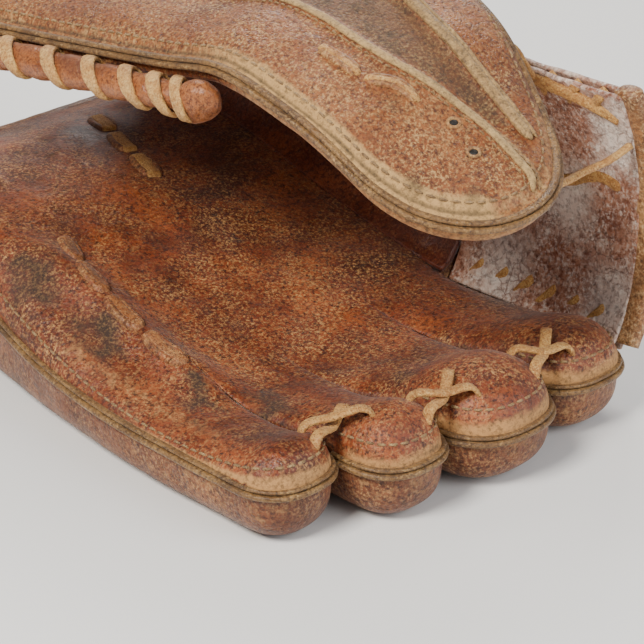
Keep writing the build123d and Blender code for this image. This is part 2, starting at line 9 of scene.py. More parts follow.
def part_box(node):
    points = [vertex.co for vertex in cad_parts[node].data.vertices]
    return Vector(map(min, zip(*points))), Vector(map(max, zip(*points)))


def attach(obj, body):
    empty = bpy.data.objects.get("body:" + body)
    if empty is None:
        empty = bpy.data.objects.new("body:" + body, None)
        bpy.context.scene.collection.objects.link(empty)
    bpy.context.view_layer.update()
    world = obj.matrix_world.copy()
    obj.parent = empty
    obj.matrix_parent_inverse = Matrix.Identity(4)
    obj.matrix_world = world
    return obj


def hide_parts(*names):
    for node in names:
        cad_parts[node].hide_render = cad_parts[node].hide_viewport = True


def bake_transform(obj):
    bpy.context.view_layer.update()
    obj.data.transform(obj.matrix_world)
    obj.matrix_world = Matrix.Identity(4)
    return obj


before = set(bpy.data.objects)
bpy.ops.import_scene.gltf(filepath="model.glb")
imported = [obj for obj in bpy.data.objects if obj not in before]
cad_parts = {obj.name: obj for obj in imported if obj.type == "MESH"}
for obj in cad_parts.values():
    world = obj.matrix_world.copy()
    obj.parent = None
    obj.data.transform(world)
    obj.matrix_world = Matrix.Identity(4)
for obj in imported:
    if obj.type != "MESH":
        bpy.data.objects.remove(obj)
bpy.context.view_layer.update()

MM = 0.001

# ---- The floor, the light and the camera -----------------------------------------------------------
# The glove lies on a plain pale sheet, under a bright soft lamp, a wide weaker one in front and one
# from behind. The camera looks across the little-finger corner, down to the pocket.
POCKET_CENTRE = Vector((0, 0, 62 * MM))
VIEW_AZIMUTH = math.radians(135)
VIEW_ELEVATION = math.radians(26)
back = Vector((
    math.sin(VIEW_AZIMUTH) * math.cos(VIEW_ELEVATION),
    -math.cos(VIEW_AZIMUTH) * math.cos(VIEW_ELEVATION),
    math.sin(VIEW_ELEVATION),
))
right = Vector((math.cos(VIEW_AZIMUTH), math.sin(VIEW_AZIMUTH), 0))
upward = back.cross(right)
aim = POCKET_CENTRE + right * 1.9 * MM - upward * 15.6 * MM
bpy.ops.object.camera_add(location=aim + back * 0.7)
camera = bpy.context.object
camera.name = "view_camera"
camera.rotation_euler = Matrix((right, upward, back)).transposed().to_euler()
camera.data.lens = 135.8
camera.data.sensor_width = 36
bpy.context.scene.camera = camera

bpy.ops.mesh.primitive_plane_add(size=6)
floor = bpy.context.object
floor.name = "floor"
floor_paint = bpy.data.materials.new("floor_paint")
floor_paint.use_nodes = True
floor_paint.node_tree.nodes["Principled BSDF"].inputs["Base Color"].default_value = (0.80, 0.79, 0.77, 1)
floor_paint.node_tree.nodes["Principled BSDF"].inputs["Roughness"].default_value = 0.9
floor.data.materials.append(floor_paint)


def add_lamp(name, place, size, power, colour):
    """A square soft lamp that points at the pocket."""
    bpy.ops.object.light_add(type="AREA", location=place)
    lamp = bpy.context.object
    lamp.name = name
    lamp.data.size = size
    lamp.data.energy = power
    lamp.data.color = colour
    lamp.rotation_euler = (Vector(place) - POCKET_CENTRE).to_track_quat("Z", "Y").to_euler()


add_lamp("key_lamp", (0.75, 0.05, 0.85), 0.40, 19, (1.0, 0.96, 0.90))
add_lamp("fill_lamp", (-0.25, 0.95, 0.55), 0.8, 9, (0.95, 0.97, 1.0))
add_lamp("rim_lamp", (-0.7, -0.6, 0.8), 0.5, 10, (1.0, 0.97, 0.93))
world = bpy.data.worlds.new("studio_air")
world.use_nodes = True
world.node_tree.nodes["Background"].inputs["Color"].default_value = (0.93, 0.95, 1.0, 1)
world.node_tree.nodes["Background"].inputs["Strength"].default_value = 0.30
bpy.context.scene.world = world

# ---- Front leather of the palm and fingers ----------------------------------------------------------
# One hide of thick oiled cowhide, cut with four fingers and sewn to the back round its edge. It is
# stuffed with felt, so each finger stands up as a lobe, and the lobes run together in the pocket.


def step(value, start, end):
    """0 before start, 1 after end, and smooth between."""
    share = np.clip((np.asarray(value, float) - start) / (end - start), 0, 1)
    return share * share * (3 - 2 * share)


def smooth_line(*points):
    """A smooth line through chosen points, as a function of its first measure."""
    places, heights = (np.array(values, float) for values in zip(*points))
    slopes = np.gradient(heights, places)

    def at(place):
        place = np.clip(place, places[0], places[-1])
        low = np.clip(np.searchsorted(places, place) - 1, 0, len(places) - 2)
        span = places[low + 1] - places[low]
        share = (place - places[low]) / span
        return (
            (2 * share**3 - 3 * share**2 + 1) * heights[low]
            + (share**3 - 2 * share**2 + share) * span * slopes[low]
            + (3 * share**2 - 2 * share**3) * heights[low + 1]
            + (share**3 - share**2) * span * slopes[low + 1]
        )

    return at


FINGERS = ("index", "middle", "ring", "little")
finger_boxes = {name: [Vector(corner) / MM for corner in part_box(f"{name}_finger_back")] for name in FINGERS}
palm_box = [Vector(corner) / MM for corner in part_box("palm_leather")]
HEEL_Y = palm_box[0].y
FAR_X = palm_box[0].x
EDGE_X = finger_boxes["little"][1].x
ROUND = 2.5
TIP_ROUND = 0.52
FRONT_DOME = 2.3
HIDE_THICKNESS = 2.0
palm_edge = smooth_line((HEEL_Y, 23), (-150, 31), (-110, 38.5), (-75, 44.5), (-40, 48.5), (0, EDGE_X))
seam_height = smooth_line((HEEL_Y, 38), (-150, 36), (-110, 27), (-75, 20), (-40, 17.5), (0, 17), (60, 17))
pocket_floor = smooth_line((HEEL_Y, 45), (-160, 51), (-130, 48), (-90, 37), (-58, 28), (-40, 24.5),
                           (-10, 22.5), (12, 25.5), (28, 31), (60, 33))


def lane_borders(finger):
    """A finger's low and high x, with half of the room beside it, and where its tip ends."""
    order = FINGERS.index(finger)
    low = finger_boxes[finger][0].x
    high = finger_boxes[finger][1].x
    wide_low = FAR_X if order == 0 else (finger_boxes[FINGERS[order - 1]][1].x + low) / 2
    wide_high = EDGE_X if order == 3 else (finger_boxes[FINGERS[order + 1]][0].x + high) / 2
    return wide_low, wide_high, finger_boxes[finger][1].y


def lane_place(finger, side, y):
    """The x of a place on a finger's lane: side is -1 at its index edge and 1 at its little edge."""
    low, high, _ = lane_borders(finger)
    gap = 0.5 * step(y, -20, 20)
    low = low + gap * (finger != "index")
    high = high - gap * (finger != "little")
    squeeze = (palm_edge(y) - FAR_X) / (EDGE_X - FAR_X)
    return FAR_X + ((low + high) / 2 + side * (high - low) / 2 - FAR_X) * squeeze


def lane_round(finger):
    """Where a fingertip's rounding starts, and its length."""
    low, high, tip = lane_borders(finger)
    length = TIP_ROUND * (high - low)
    return tip - length, length


def lane_nearness(finger, side, y):
    """0 on the middle of a finger and 1 on its seam."""
    start, length = lane_round(finger)
    ahead = np.clip((y - start) / length, 0, 1)
    return np.clip((np.abs(side) ** ROUND + ahead**ROUND) ** (1 / ROUND), 0, 1)


def lane_split(finger, side, y):
    """How deep the valley beside a finger is: 0 in the palm and 1 where the fingers part."""
    start, length = lane_round(finger)
    split = step(y, -42, start - 2)
    outer = (finger == "little") * (side > 0)
    far = (finger == "index") * (side < 0)
    split = np.where(outer, 1.0, split)
    split = np.where(far, step(y, -46, -24), split)
    return np.where(y > start, np.maximum(split, step(y, start, start + 4)), split)


def dome_over(near, roundness):
    """The height of a stuffed piece's section: 1 on its middle and 0 on its seam."""
    return (1 - near**roundness) ** (1 / roundness)


def front_height(finger, side, y):
    """The height of the front leather."""
    dome = dome_over(lane_nearness(finger, side, y), FRONT_DOME)
    filled = 1 - lane_split(finger, side, y) * (1 - dome)
    x = lane_place(finger, side, y)
    ridge = 5.0 * np.exp(-(((x - 21) / 8.5) ** 2)) * step(y, -120, -92) * (1 - step(y, -36, -6))
    hollow = -3.0 * np.exp(-(((x + 18) / 34) ** 2) - ((y + 12) / 30) ** 2)
    full = pocket_floor(y) + ridge + hollow + 1.5 * (finger == "middle") * step(y, 10, 30)
    seam = seam_height(y)
    return seam + (full - seam) * filled


def make_patch(name, columns, rows, place):
    """A grid whose every point is moved to the place that its share across and along gives."""
    bpy.ops.object.select_all(action="DESELECT")
    bpy.ops.mesh.primitive_grid_add(x_subdivisions=columns, y_subdivisions=rows, size=1)
    patch = bpy.context.object
    patch.name = name
    flat = np.empty(len(patch.data.vertices) * 3)
    patch.data.vertices.foreach_get("co", flat)
    across, along = flat.reshape(-1, 3)[:, 0] + 0.5, flat.reshape(-1, 3)[:, 1] + 0.5
    x, y, z = np.broadcast_arrays(*place(across, along))
    patch.data.vertices.foreach_set("co", (np.stack([x, y, z], 1) * MM).ravel())
    patch.data.update()
    return patch


def paint(piece, name, values):
    """Keeps a value from 0 to 1 for each point, or one for all, which leather reads as wear, or as darkening
    that stands for dirt and for painted shade.
    """
    layer = piece.data.attributes.get(name) or piece.data.attributes.new(name, "FLOAT", "POINT")
    layer.data.foreach_set("value", np.full(len(piece.data.vertices), values, np.float32))


def read_points(piece):
    """The piece's points, in millimetres."""
    flat = np.empty(len(piece.data.vertices) * 3)
    piece.data.vertices.foreach_get("co", flat)
    return flat.reshape(-1, 3) / MM


def pick(piece):
    """Selects one piece alone."""
    bpy.ops.object.select_all(action="DESELECT")
    piece.select_set(True)
    bpy.context.view_layer.objects.active = piece


def join_up(pieces, name, merge=0.02):
    """Joins patches and sews the points that meet."""
    bpy.ops.object.select_all(action="DESELECT")
    for piece in pieces:
        piece.select_set(True)
    bpy.context.view_layer.objects.active = pieces[0]
    if len(pieces) > 1:
        bpy.ops.object.join()
    joined = bpy.context.object
    joined.name = name
    bpy.ops.object.mode_set(mode="EDIT")
    bpy.ops.mesh.select_all(action="SELECT")
    bpy.ops.mesh.remove_doubles(threshold=merge * MM)
    bpy.ops.object.mode_set(mode="OBJECT")
    return joined


def apply_all(piece):
    """Applies the piece's modifiers in their order."""
    pick(piece)
    for modifier in list(piece.modifiers):
        bpy.ops.object.modifier_apply(modifier=modifier.name)


def crumple(piece, depth, size):
    """Uneven stuffing: the surface rises and falls by a share of depth over about size."""
    clouds = bpy.data.textures.new(f"{piece.name}_clouds", "CLOUDS")
    clouds.noise_scale = size * MM
    clouds.noise_depth = 3
    rise = piece.modifiers.new("crumple", "DISPLACE")
    rise.texture = clouds
    rise.texture_coords = "LOCAL"
    rise.strength = depth * MM
    rise.mid_level = 0.5


def thicken(piece, thickness, smooth=1):
    """Gives a sheet its leather thickness inwards, after rounding it."""
    if smooth:
        subdivide = piece.modifiers.new("smooth", "SUBSURF")
        subdivide.levels = subdivide.render_levels = smooth
    wall = piece.modifiers.new("thickness", "SOLIDIFY")
    wall.thickness = thickness * MM
    wall.offset = -1
    wall.use_even_offset = False


def finish_piece(piece, material, body=None, stands_for=(), blend=None):
    """Shades the piece, gives it its leather, hides the parts it stands for and hangs it on its body; with a
    blend it only bakes its place in.
    """
    apply_all(piece)
    bpy.ops.object.shade_smooth()
    piece.data.materials.clear()
    piece.data.materials.append(material)
    if stands_for:
        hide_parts(*stands_for)
    if blend:
        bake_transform(piece)
    else:
        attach(piece, body)


def make_leather(name, dark, mid, light, worn, dirt_and_shade=(0.022, 0.013, 0.007), grain=820, depth=0.5,
                 roughness=(0.38, 0.72), patchy=38, speckle=0.45, crackle=0.35):
    """Cowhide: patchy dye, a pebbled grain, pale rubbed places, and dark greasy dirt whose darkening also
    paints shade.
    """
    material = bpy.data.materials.new(name)
    material.use_nodes = True
    tree = material.node_tree
    links, shader = tree.links, tree.nodes["Principled BSDF"]
    place = tree.nodes.new("ShaderNodeTexCoord").outputs["Object"]

    def noise(scale, detail=4.0, rough=0.55, warp=0.0):
        node = tree.nodes.new("ShaderNodeTexNoise")
        node.inputs["Scale"].default_value = scale
        node.inputs["Detail"].default_value = detail
        node.inputs["Roughness"].default_value = rough
        node.inputs["Distortion"].default_value = warp
        links.new(place, node.inputs["Vector"])
        return node.outputs["Fac"]

    def ramp(value, *stops):
        node = tree.nodes.new("ShaderNodeValToRGB")
        elements = node.color_ramp.elements
        while len(elements) < len(stops):
            elements.new(0.5)
        for element, (position, colour) in zip(elements, stops):
            element.position = position
            element.color = (*colour, 1) if isinstance(colour, tuple) else (colour, colour, colour, 1)
        links.new(value, node.inputs["Fac"])
        return node.outputs["Color"]

    def combine(operation, first, second):
        node = tree.nodes.new("ShaderNodeMath")
        node.operation = operation
        node.use_clamp = True
        for socket, value in zip(node.inputs, (first, second)):
            if isinstance(value, (int, float)):
                socket.default_value = value
            else:
                links.new(value, socket)
        return node.outputs["Value"]

    def mix(mask, first, second, kind="MIX"):
        node = tree.nodes.new("ShaderNodeMix")
        node.data_type = "RGBA"
        node.blend_type = kind
        for socket, value in ((node.inputs[0], mask), (node.inputs[6], first), (node.inputs[7], second)):
            if isinstance(value, tuple):
                socket.default_value = (*value, 1)
            elif isinstance(value, (int, float)):
                socket.default_value = value
            else:
                links.new(value, socket)
        return node.outputs[2]

    def attribute(layer):
        node = tree.nodes.new("ShaderNodeAttribute")
        node.attribute_name = layer
        return node.outputs["Fac"]

    def cells(scale, feature="F1", wander=0.0):
        node = tree.nodes.new("ShaderNodeTexVoronoi")
        node.feature = feature
        node.inputs["Scale"].default_value = scale
        if wander:
            drift = tree.nodes.new("ShaderNodeTexNoise")
            drift.inputs["Scale"].default_value = scale * 0.9
            drift.inputs["Detail"].default_value = 5
            links.new(place, drift.inputs["Vector"])
            shift = tree.nodes.new("ShaderNodeVectorMath")
            shift.operation = "MULTIPLY_ADD"
            shift.inputs[1].default_value = (wander, wander, wander)
            links.new(drift.outputs["Color"], shift.inputs[0])
            links.new(place, shift.inputs[2])
            links.new(shift.outputs["Vector"], node.inputs["Vector"])
        else:
            links.new(place, node.inputs["Vector"])
        return node.outputs["Distance"]

    dye = ramp(noise(patchy, 6, 0.62, 0.4), (0.30, dark), (0.50, mid), (0.72, light))
    fleck = ramp(noise(grain * 1.3, 3, 0.7), (0.47, 0.0), (0.62, 1.0))
    patches = ramp(noise(patchy * 1.7, 5, 0.6), (0.36, 0.15), (0.62, 1.0))
    flecked = mix(combine("MULTIPLY", combine("MULTIPLY", fleck, patches), speckle), dye, worn)
    shade = ramp(noise(grain * 0.8, 4, 0.75), (0.36, 1.0), (0.52, 0.0))
    flecked = mix(combine("MULTIPLY", shade, 1.0), flecked, dark)
    pits = ramp(cells(grain), (0.0, 0.0), (0.42, 1.0))
    grained = mix(0.5, flecked, mix(1.0, flecked, pits, "MULTIPLY"))

    # Rubbed places go pale, with a broken edge, and keep some of the dye in the grain.
    edge_noise = noise(grain * 0.35, 5, 0.7)
    ragged = combine("MULTIPLY", combine("SUBTRACT", edge_noise, 0.5), 1.1)
    rubbed = ramp(combine("ADD", attribute("wear"), ragged), (0.38, 0.0), (0.72, 1.0))
    rubbed_colour = mix(combine("MULTIPLY", shade, 0.8), worn, tuple(0.36 * part for part in worn))
    coloured = mix(combine("MULTIPLY", rubbed, 0.85), grained, rubbed_colour)

    # Dirt sits where the hand and the ground left it, and gathers in thin cracks. The same darkening, read
    # from the painted layer, also paints shade where a piece asks for it.
    smears = ramp(noise(70, 6, 0.7, 0.6), (0.63, 0.0), (0.74, 0.75))
    blotches = combine("MULTIPLY", combine("SUBTRACT", noise(150, 6, 0.7), 0.5), 0.9)
    soiled_and_shaded = ramp(combine("ADD", attribute("dirt_and_shade"), blotches), (0.40, 0.0), (0.80, 0.88))
    dirt_and_shade_amount = combine("ADD", smears, soiled_and_shaded)
    cracks = ramp(cells(grain * 0.34, "DISTANCE_TO_EDGE", 0.006), (0.0, 1.0), (0.06, 0.0))
    dried = ramp(noise(60, 4), (0.45, 0.0), (0.62, 1.0))
    cracked = combine("MULTIPLY", combine("MULTIPLY", cracks, dried), crackle)
    # The dark colour for dirt, and for painted shade.
    grime_and_shade = mix(combine("MULTIPLY", fleck, 0.28), dirt_and_shade, tuple(0.55 * part for part in worn))
    links.new(mix(combine("MAXIMUM", dirt_and_shade_amount, cracked), coloured, grime_and_shade), shader.inputs["Base Color"])

    shine = ramp(noise(55, 4, 0.6), (0.35, roughness[0]), (0.70, roughness[1]))
    links.new(mix(combine("MAXIMUM", rubbed, dirt_and_shade_amount), shine, (0.85, 0.85, 0.85)), shader.inputs["Roughness"])
    shader.inputs["Specular IOR Level"].default_value = 0.42
    shader.inputs["Sheen Weight"].default_value = 0.08

    pores = combine("MULTIPLY", noise(grain * 1.5, 3, 0.6), 0.35)
    height = combine("ADD", combine("MULTIPLY", pits, 0.45), pores)
    height = combine("SUBTRACT", height, combine("MULTIPLY", cracked, 0.6))
    fine = tree.nodes.new("ShaderNodeBump")
    fine.inputs["Strength"].default_value = depth
    fine.inputs["Distance"].default_value = 0.0006
    links.new(height, fine.inputs["Height"])
    folds = tree.nodes.new("ShaderNodeBump")
    folds.inputs["Strength"].default_value = 0.5
    folds.inputs["Distance"].default_value = 0.0016
    links.new(noise(150, 5, 0.65, 0.8), folds.inputs["Height"])
    links.new(folds.outputs["Normal"], fine.inputs["Normal"])
    links.new(fine.outputs["Normal"], shader.inputs["Normal"])
    return material


palm_hide = make_leather("palm_hide", (0.040, 0.007, 0.002), (0.165, 0.029, 0.006), (0.330, 0.080, 0.016),
                         (0.47, 0.245, 0.085), speckle=0.95)

PALM_ROWS = 0.66  # share of a lane's rows that lie behind the place where the fingers part
PART_Y = -8.0


def lane_grid(finger):
    """The places of a finger's lane: from the wrist in step with its neighbours, then to its tip."""

    def place(across, along):
        side = -np.cos(np.pi * across)
        start, length = lane_round(finger)
        end = start + length * (1 - np.abs(side) ** ROUND) ** (1 / ROUND)
        ahead = np.sin(np.clip((along - PALM_ROWS) / (1 - PALM_ROWS), 0, 1) * np.pi / 2)
        y = np.where(along < PALM_ROWS, HEEL_Y + (PART_Y - HEEL_Y) * along / PALM_ROWS,
                     PART_Y + (end - PART_Y) * ahead)
        return side, y

    return place


def front_place(finger):
    grid = lane_grid(finger)

    def place(across, along):
        side, y = grid(across, along)
        return lane_place(finger, side, y), y, front_height(finger, side, y)

    return place


def paint_lanes(piece, seam_wear):
    """Pale wear beside the seams at the fingertips, darker bands in the valleys between the lobes, dirt
    stains in the pocket, and painted shade over the deep pocket by the web.
    """
    x, y, _ = read_points(piece).T
    wear = np.zeros(len(x))
    dirt_and_shade = np.zeros(len(x))
    for finger in FINGERS:
        middle = lane_place(finger, 0, y)
        half = lane_place(finger, 1, y) - middle
        side = np.clip((x - middle) / half, -1, 1)
        inside = np.abs(x - middle) <= half + 0.01
        near = lane_nearness(finger, side, y)
        start, _ = lane_round(finger)
        tip = step(y, start - 12, start + 6)
        band = 0.38 * step(near, 0.80, 0.90) + 0.50 * step(near, 0.93, 0.98)
        band = band * np.where((finger == "little") & (side > 0), 0.35 + 0.65 * step(y, -70, -10), tip)
        wear = np.where(inside, np.maximum(wear, seam_wear * band), wear)
        # Darker bands in the valleys between the lobes, away from the tips.
        valley = step(near, 0.86, 1.0) * lane_split(finger, side, y) * (1 - tip)
        valley = valley * np.where((finger == "little") & (side > 0), 0.0, 1.0)
        dirt_and_shade = np.where(inside, np.maximum(dirt_and_shade, 0.75 * valley), dirt_and_shade)
    # Dark stains in the pocket; the last, broad and faint spot is painted shade over the deep pocket by the
    # web.
    for spot_x, spot_y, size, strength in ((33, -58, 9, 0.80), (29, -18, 9, 0.78), (14, -4, 9, 0.74),
                                           (31, -92, 10, 0.78), (-30, -30, 30, 0.25)):
        drift = 2.6 * np.sin(x / 3.1 + y / 4.7) + 2.2 * np.sin(x / 1.9 - y / 3.3)
        spot = np.exp(-((x - spot_x + drift) ** 2 + (0.62 * (y - spot_y) + drift) ** 2) / size**2)
        dirt_and_shade = np.maximum(dirt_and_shade, strength * spot)
    wear = np.maximum(wear, 0.42 * np.exp(-((x - 40) / 9) ** 2) * step(y, -90, -60) * (1 - step(y, 0, 20)))
    paint(piece, "wear", wear)
    paint(piece, "dirt_and_shade", dirt_and_shade)


front_leather = join_up(
    [make_patch(f"{finger}_lane", 22, 92, front_place(finger)) for finger in FINGERS], "front_leather"
)
crumple(front_leather, 2.2, 26)
thicken(front_leather, HIDE_THICKNESS)
apply_all(front_leather)
paint_lanes(front_leather, 0.85)
KNUCKLE_BEND = ("hand", "finger_row", (0, -0.052, 0), (0, -0.026, 0))
finish_piece(
    front_leather, palm_hide, blend=KNUCKLE_BEND,
    stands_for=["palm_leather"] + [f"{finger}_finger_front" for finger in FINGERS],
)

# Grey-white pressed felt fills each finger lobe and the palm, under the leather.


def make_felt(name):
    """Pressed wool: off-white, matt, with a fine hairy surface."""
    material = bpy.data.materials.new(name)
    material.use_nodes = True
    tree = material.node_tree
    shader = tree.nodes["Principled BSDF"]
    place = tree.nodes.new("ShaderNodeTexCoord")
    hairs = tree.nodes.new("ShaderNodeTexNoise")
    hairs.inputs["Scale"].default_value = 900
    hairs.inputs["Detail"].default_value = 5
    tint = tree.nodes.new("ShaderNodeValToRGB")
    tint.color_ramp.elements[0].color = (0.36, 0.31, 0.24, 1)
    tint.color_ramp.elements[1].color = (0.66, 0.60, 0.50, 1)
    bump = tree.nodes.new("ShaderNodeBump")
    bump.inputs["Distance"].default_value = 0.0008
    tree.links.new(place.outputs["Object"], hairs.inputs["Vector"])
    tree.links.new(hairs.outputs["Fac"], tint.inputs["Fac"])
    tree.links.new(tint.outputs["Color"], shader.inputs["Base Color"])
    tree.links.new(hairs.outputs["Fac"], bump.inputs["Height"])
    tree.links.new(bump.outputs["Normal"], shader.inputs["Normal"])
    shader.inputs["Roughness"].default_value = 0.95
    return material


wool_felt = make_felt("wool_felt")
FELT_DEPTH = 3.4
for finger in FINGERS:

    def felt_place(across, along, finger=finger):
        start, length = lane_round(finger)
        side = 0.8 * (2 * across - 1)
        y = -38 + (start + 0.55 * length + 38) * along
        return lane_place(finger, side, y), y, front_height(finger, side, y) - FELT_DEPTH

    felt_pad = make_patch(f"{finger}_felt_pad", 10, 24, felt_place)
    thicken(felt_pad, 3.0, smooth=0)
    finish_piece(felt_pad, wool_felt, body="finger_row",
                 stands_for=[f"{finger}_finger_felt"])


def palm_felt_place(across, along):
    y = HEEL_Y + 2 + (-43 - HEEL_Y - 2) * along
    x = FAR_X + 6 + (palm_edge(y) - FAR_X - 17) * across
    return x, y, pocket_floor(y) - 6.2


palm_felt_pad = make_patch("palm_felt_pad", 30, 30, palm_felt_place)
thicken(palm_felt_pad, 3.4, smooth=0)
finish_piece(palm_felt_pad, wool_felt, body="hand", stands_for=["palm_felt"])

# ---- Back leather of the hand and fingers -----------------------------------------------------------
# A second hide that the glove rests on. It is sewn to the front all round, rises off the ground to
# the wrist, and has a window over the knuckles and a split up the wrist.
WRIST_LIFT = 9.5
WINDOW_X = (-50.0, 10.0)
WINDOW_Y = (-136.0, -104.0)
SPLIT_X = (-26.0, -14.0)
BACK_DOME = 3.4
BACK_LOW = 0.3  # room under the back, where it rests
WRIST_LIFT_Y = -138  # where the back starts to rise to the wrist


def wrist_lift(y):
    """How far the back rises off the ground."""
    return WRIST_LIFT * step(-y, -WRIST_LIFT_Y, -HEEL_Y)


def back_skin(y):
    """The height of the back's outer face."""
    return BACK_LOW + wrist_lift(y)


def back_place(finger):
    grid = lane_grid(finger)

    def place(across, along):
        side, y = grid(across, along)
        dome = dome_over(lane_nearness(finger, side, y), BACK_DOME)
        far = (finger == "index") * (side < 0)
        split = np.where(far, 1.0, lane_split(finger, side, y))
        filled = 1 - split * (1 - dome)
        low = back_skin(y)
        seam = seam_height(y) - 0.2
        return lane_place(finger, side, y), y, seam + (low - seam) * filled

    return place


def cut_faces(piece, wanted):
    """Deletes the faces whose middle is where the test says."""
    pick(piece)
    bpy.ops.object.mode_set(mode="EDIT")
    bpy.ops.mesh.select_all(action="DESELECT")
    bpy.ops.object.mode_set(mode="OBJECT")
    for face in piece.data.polygons:
        face.select = bool(wanted(face.center / MM))
    bpy.ops.object.mode_set(mode="EDIT")
    bpy.ops.mesh.delete(type="FACE")
    bpy.ops.object.mode_set(mode="OBJECT")


def flip(piece):
    """Turns a sheet's outside round."""
    pick(piece)
    bpy.ops.object.mode_set(mode="EDIT")
    bpy.ops.mesh.select_all(action="SELECT")
    bpy.ops.mesh.flip_normals()
    bpy.ops.object.mode_set(mode="OBJECT")


def in_back_opening(middle):
    """Whether a place on the back lies in the window or the split."""
    window = Vector(((middle.x - sum(WINDOW_X) / 2) / 30, (middle.y - sum(WINDOW_Y) / 2) / 16))
    in_window = abs(window.x) ** 3.5 + abs(window.y) ** 3.5 < 1
    in_split = SPLIT_X[0] < middle.x < SPLIT_X[1] and middle.y < sum(WINDOW_Y) / 2
    return middle.z < 20 and (in_window or in_split)


back_hide = make_leather("back_hide", (0.048, 0.010, 0.003), (0.143, 0.036, 0.009), (0.253, 0.081, 0.022),
                         (0.474, 0.260, 0.101), speckle=0.75)
back_leather = join_up(
    [make_patch(f"{finger}_back_lane", 22, 92, back_place(finger)) for finger in FINGERS], "back_leather"
)
flip(back_leather)
cut_faces(back_leather, in_back_opening)
crumple(back_leather, 0.9, 22)
thicken(back_leather, HIDE_THICKNESS)
apply_all(back_leather)
paint_lanes(back_leather, 0.42)
finish_piece(
    back_leather, back_hide, blend=KNUCKLE_BEND,
    stands_for=["hand_back"] + [f"{finger}_finger_back" for finger in FINGERS],
)

# ---- Welts and stitching of the fingers -------------------------------------------------------------
# A tan strip is sewn into each seam and stands out of it as a rounded lip, with a thinner, darker
# one above it. Waxed thread runs along the front leather just inside the lip.


def spread(points, count):
    """Evenly many places on a smooth line through points."""
    points = np.array(points, float)
    gone = np.concatenate([[0], np.cumsum(np.linalg.norm(np.diff(points, axis=0), axis=1))])
    at = np.linspace(0, gone[-1], count)
    return np.stack([smooth_line(*zip(gone, points[:, axis]))(at) for axis in range(3)], 1)


def sweep(name, points, half_width, half_height, ups=(0, 0, 1), corners=10, square=2.6, taper=0.0):
    """A solid strip along points. ups says which way its flat face looks; taper rounds its ends."""
    points = np.array(points, float)
    count = len(points)
    ahead = np.gradient(points, axis=0)
    ahead /= np.linalg.norm(ahead, axis=1)[:, None]
    ups = np.broadcast_to(np.array(ups, float), points.shape)
    across = np.cross(ahead, ups)
    across /= np.linalg.norm(across, axis=1)[:, None]
    over = np.cross(across, ahead)
    angles = np.linspace(0, 2 * np.pi, corners, endpoint=False)
    wide = np.sign(np.cos(angles)) * np.abs(np.cos(angles)) ** (2 / square)
    high = np.sign(np.sin(angles)) * np.abs(np.sin(angles)) ** (2 / square)
    share = np.linspace(0, 1, count)
    size = np.ones(count)
    if taper:
        near_end = np.minimum(share, 1 - share) / taper
        size = np.sqrt(1 - (1 - np.clip(near_end, 0.04, 1)) ** 2)
    half_width = np.broadcast_to(np.asarray(half_width, float), (count,))
    half_height = np.broadcast_to(np.asarray(half_height, float), (count,))
    rings = (
        points[:, None, :]
        + across[:, None, :] * (wide[None, :, None] * (half_width * size)[:, None, None])
        + over[:, None, :] * (high[None, :, None] * (half_height * size)[:, None, None])
    )
    corners_of = rings.reshape(-1, 3) * MM
    faces = [
        (ring * corners + k, ring * corners + (k + 1) % corners,
         (ring + 1) * corners + (k + 1) % corners, (ring + 1) * corners + k)
        for ring in range(count - 1) for k in range(corners)
    ]
    faces += [tuple(reversed(range(corners))), tuple((count - 1) * corners + k for k in range(corners))]
    mesh = bpy.data.meshes.new(name)
    mesh.from_pydata(corners_of.tolist(), [], faces)
    mesh.update()
    strip = bpy.data.objects.new(name, mesh)
    bpy.context.collection.objects.link(strip)
    return strip


def surface_of(piece):
    """A piece's surface, to lay laces and thread on."""
    corners = [vertex.co.copy() for vertex in piece.data.vertices]
    return BVHTree.FromPolygons(corners, [tuple(face.vertices) for face in piece.data.polygons])


def lie_on(surface, points, rise):
    """Moves points to the nearest places on a surface, raised by rise; gives the surface's ups too."""
    laid, ups = [], []
    for point in points:
        place, normal, _, _ = surface.find_nearest(Vector(point) * MM)
        laid.append(np.array(place) / MM + np.array(normal) * rise)
        ups.append(np.array(normal))
    return np.array(laid), np.array(ups)


def sew(name, surface, path, pitch=3.6, length=2.5, thread=0.42):
    """A row of stitches along a path on a surface."""
    path = np.array(path, float)
    gone = np.concatenate([[0], np.cumsum(np.linalg.norm(np.diff(path, axis=0), axis=1))])
    stitches = []
    for start in np.arange(pitch / 2, gone[-1] - length, pitch):
        ends = [[np.interp(start + length * share, gone, path[:, axis]) for axis in range(3)]
                for share in (0, 0.3, 0.7, 1)]
        laid, ups = lie_on(surface, ends, 0.0)
        laid += ups * np.array([-0.35, 0.22, 0.22, -0.35])[:, None]
        stitches.append(sweep("stitch", laid, thread, thread, ups, corners=6, square=2))
    return join_up(stitches, name, merge=0.0001)


def lane_seam(finger, near, index_y, little_y, count=120):
    """The path round a finger at one nearness to its seam, from its index edge to its little edge."""
    start, length = lane_round(finger)
    turn = np.linspace(np.pi, 0, 60)
    tip_side = near * np.sign(np.cos(turn)) * np.abs(np.cos(turn)) ** (2 / ROUND)
    tip_y = start + length * near * np.sin(turn) ** (2 / ROUND)
    side = np.concatenate([np.full(20, -near), tip_side, np.full(40, near)])
    y = np.concatenate([np.linspace(index_y, start - 0.5, 20), tip_y, np.linspace(start - 0.5, little_y, 40)])
    height = front_height(finger, side, y)
    return spread(np.stack([lane_place(finger, side, y), y, height], 1), count)


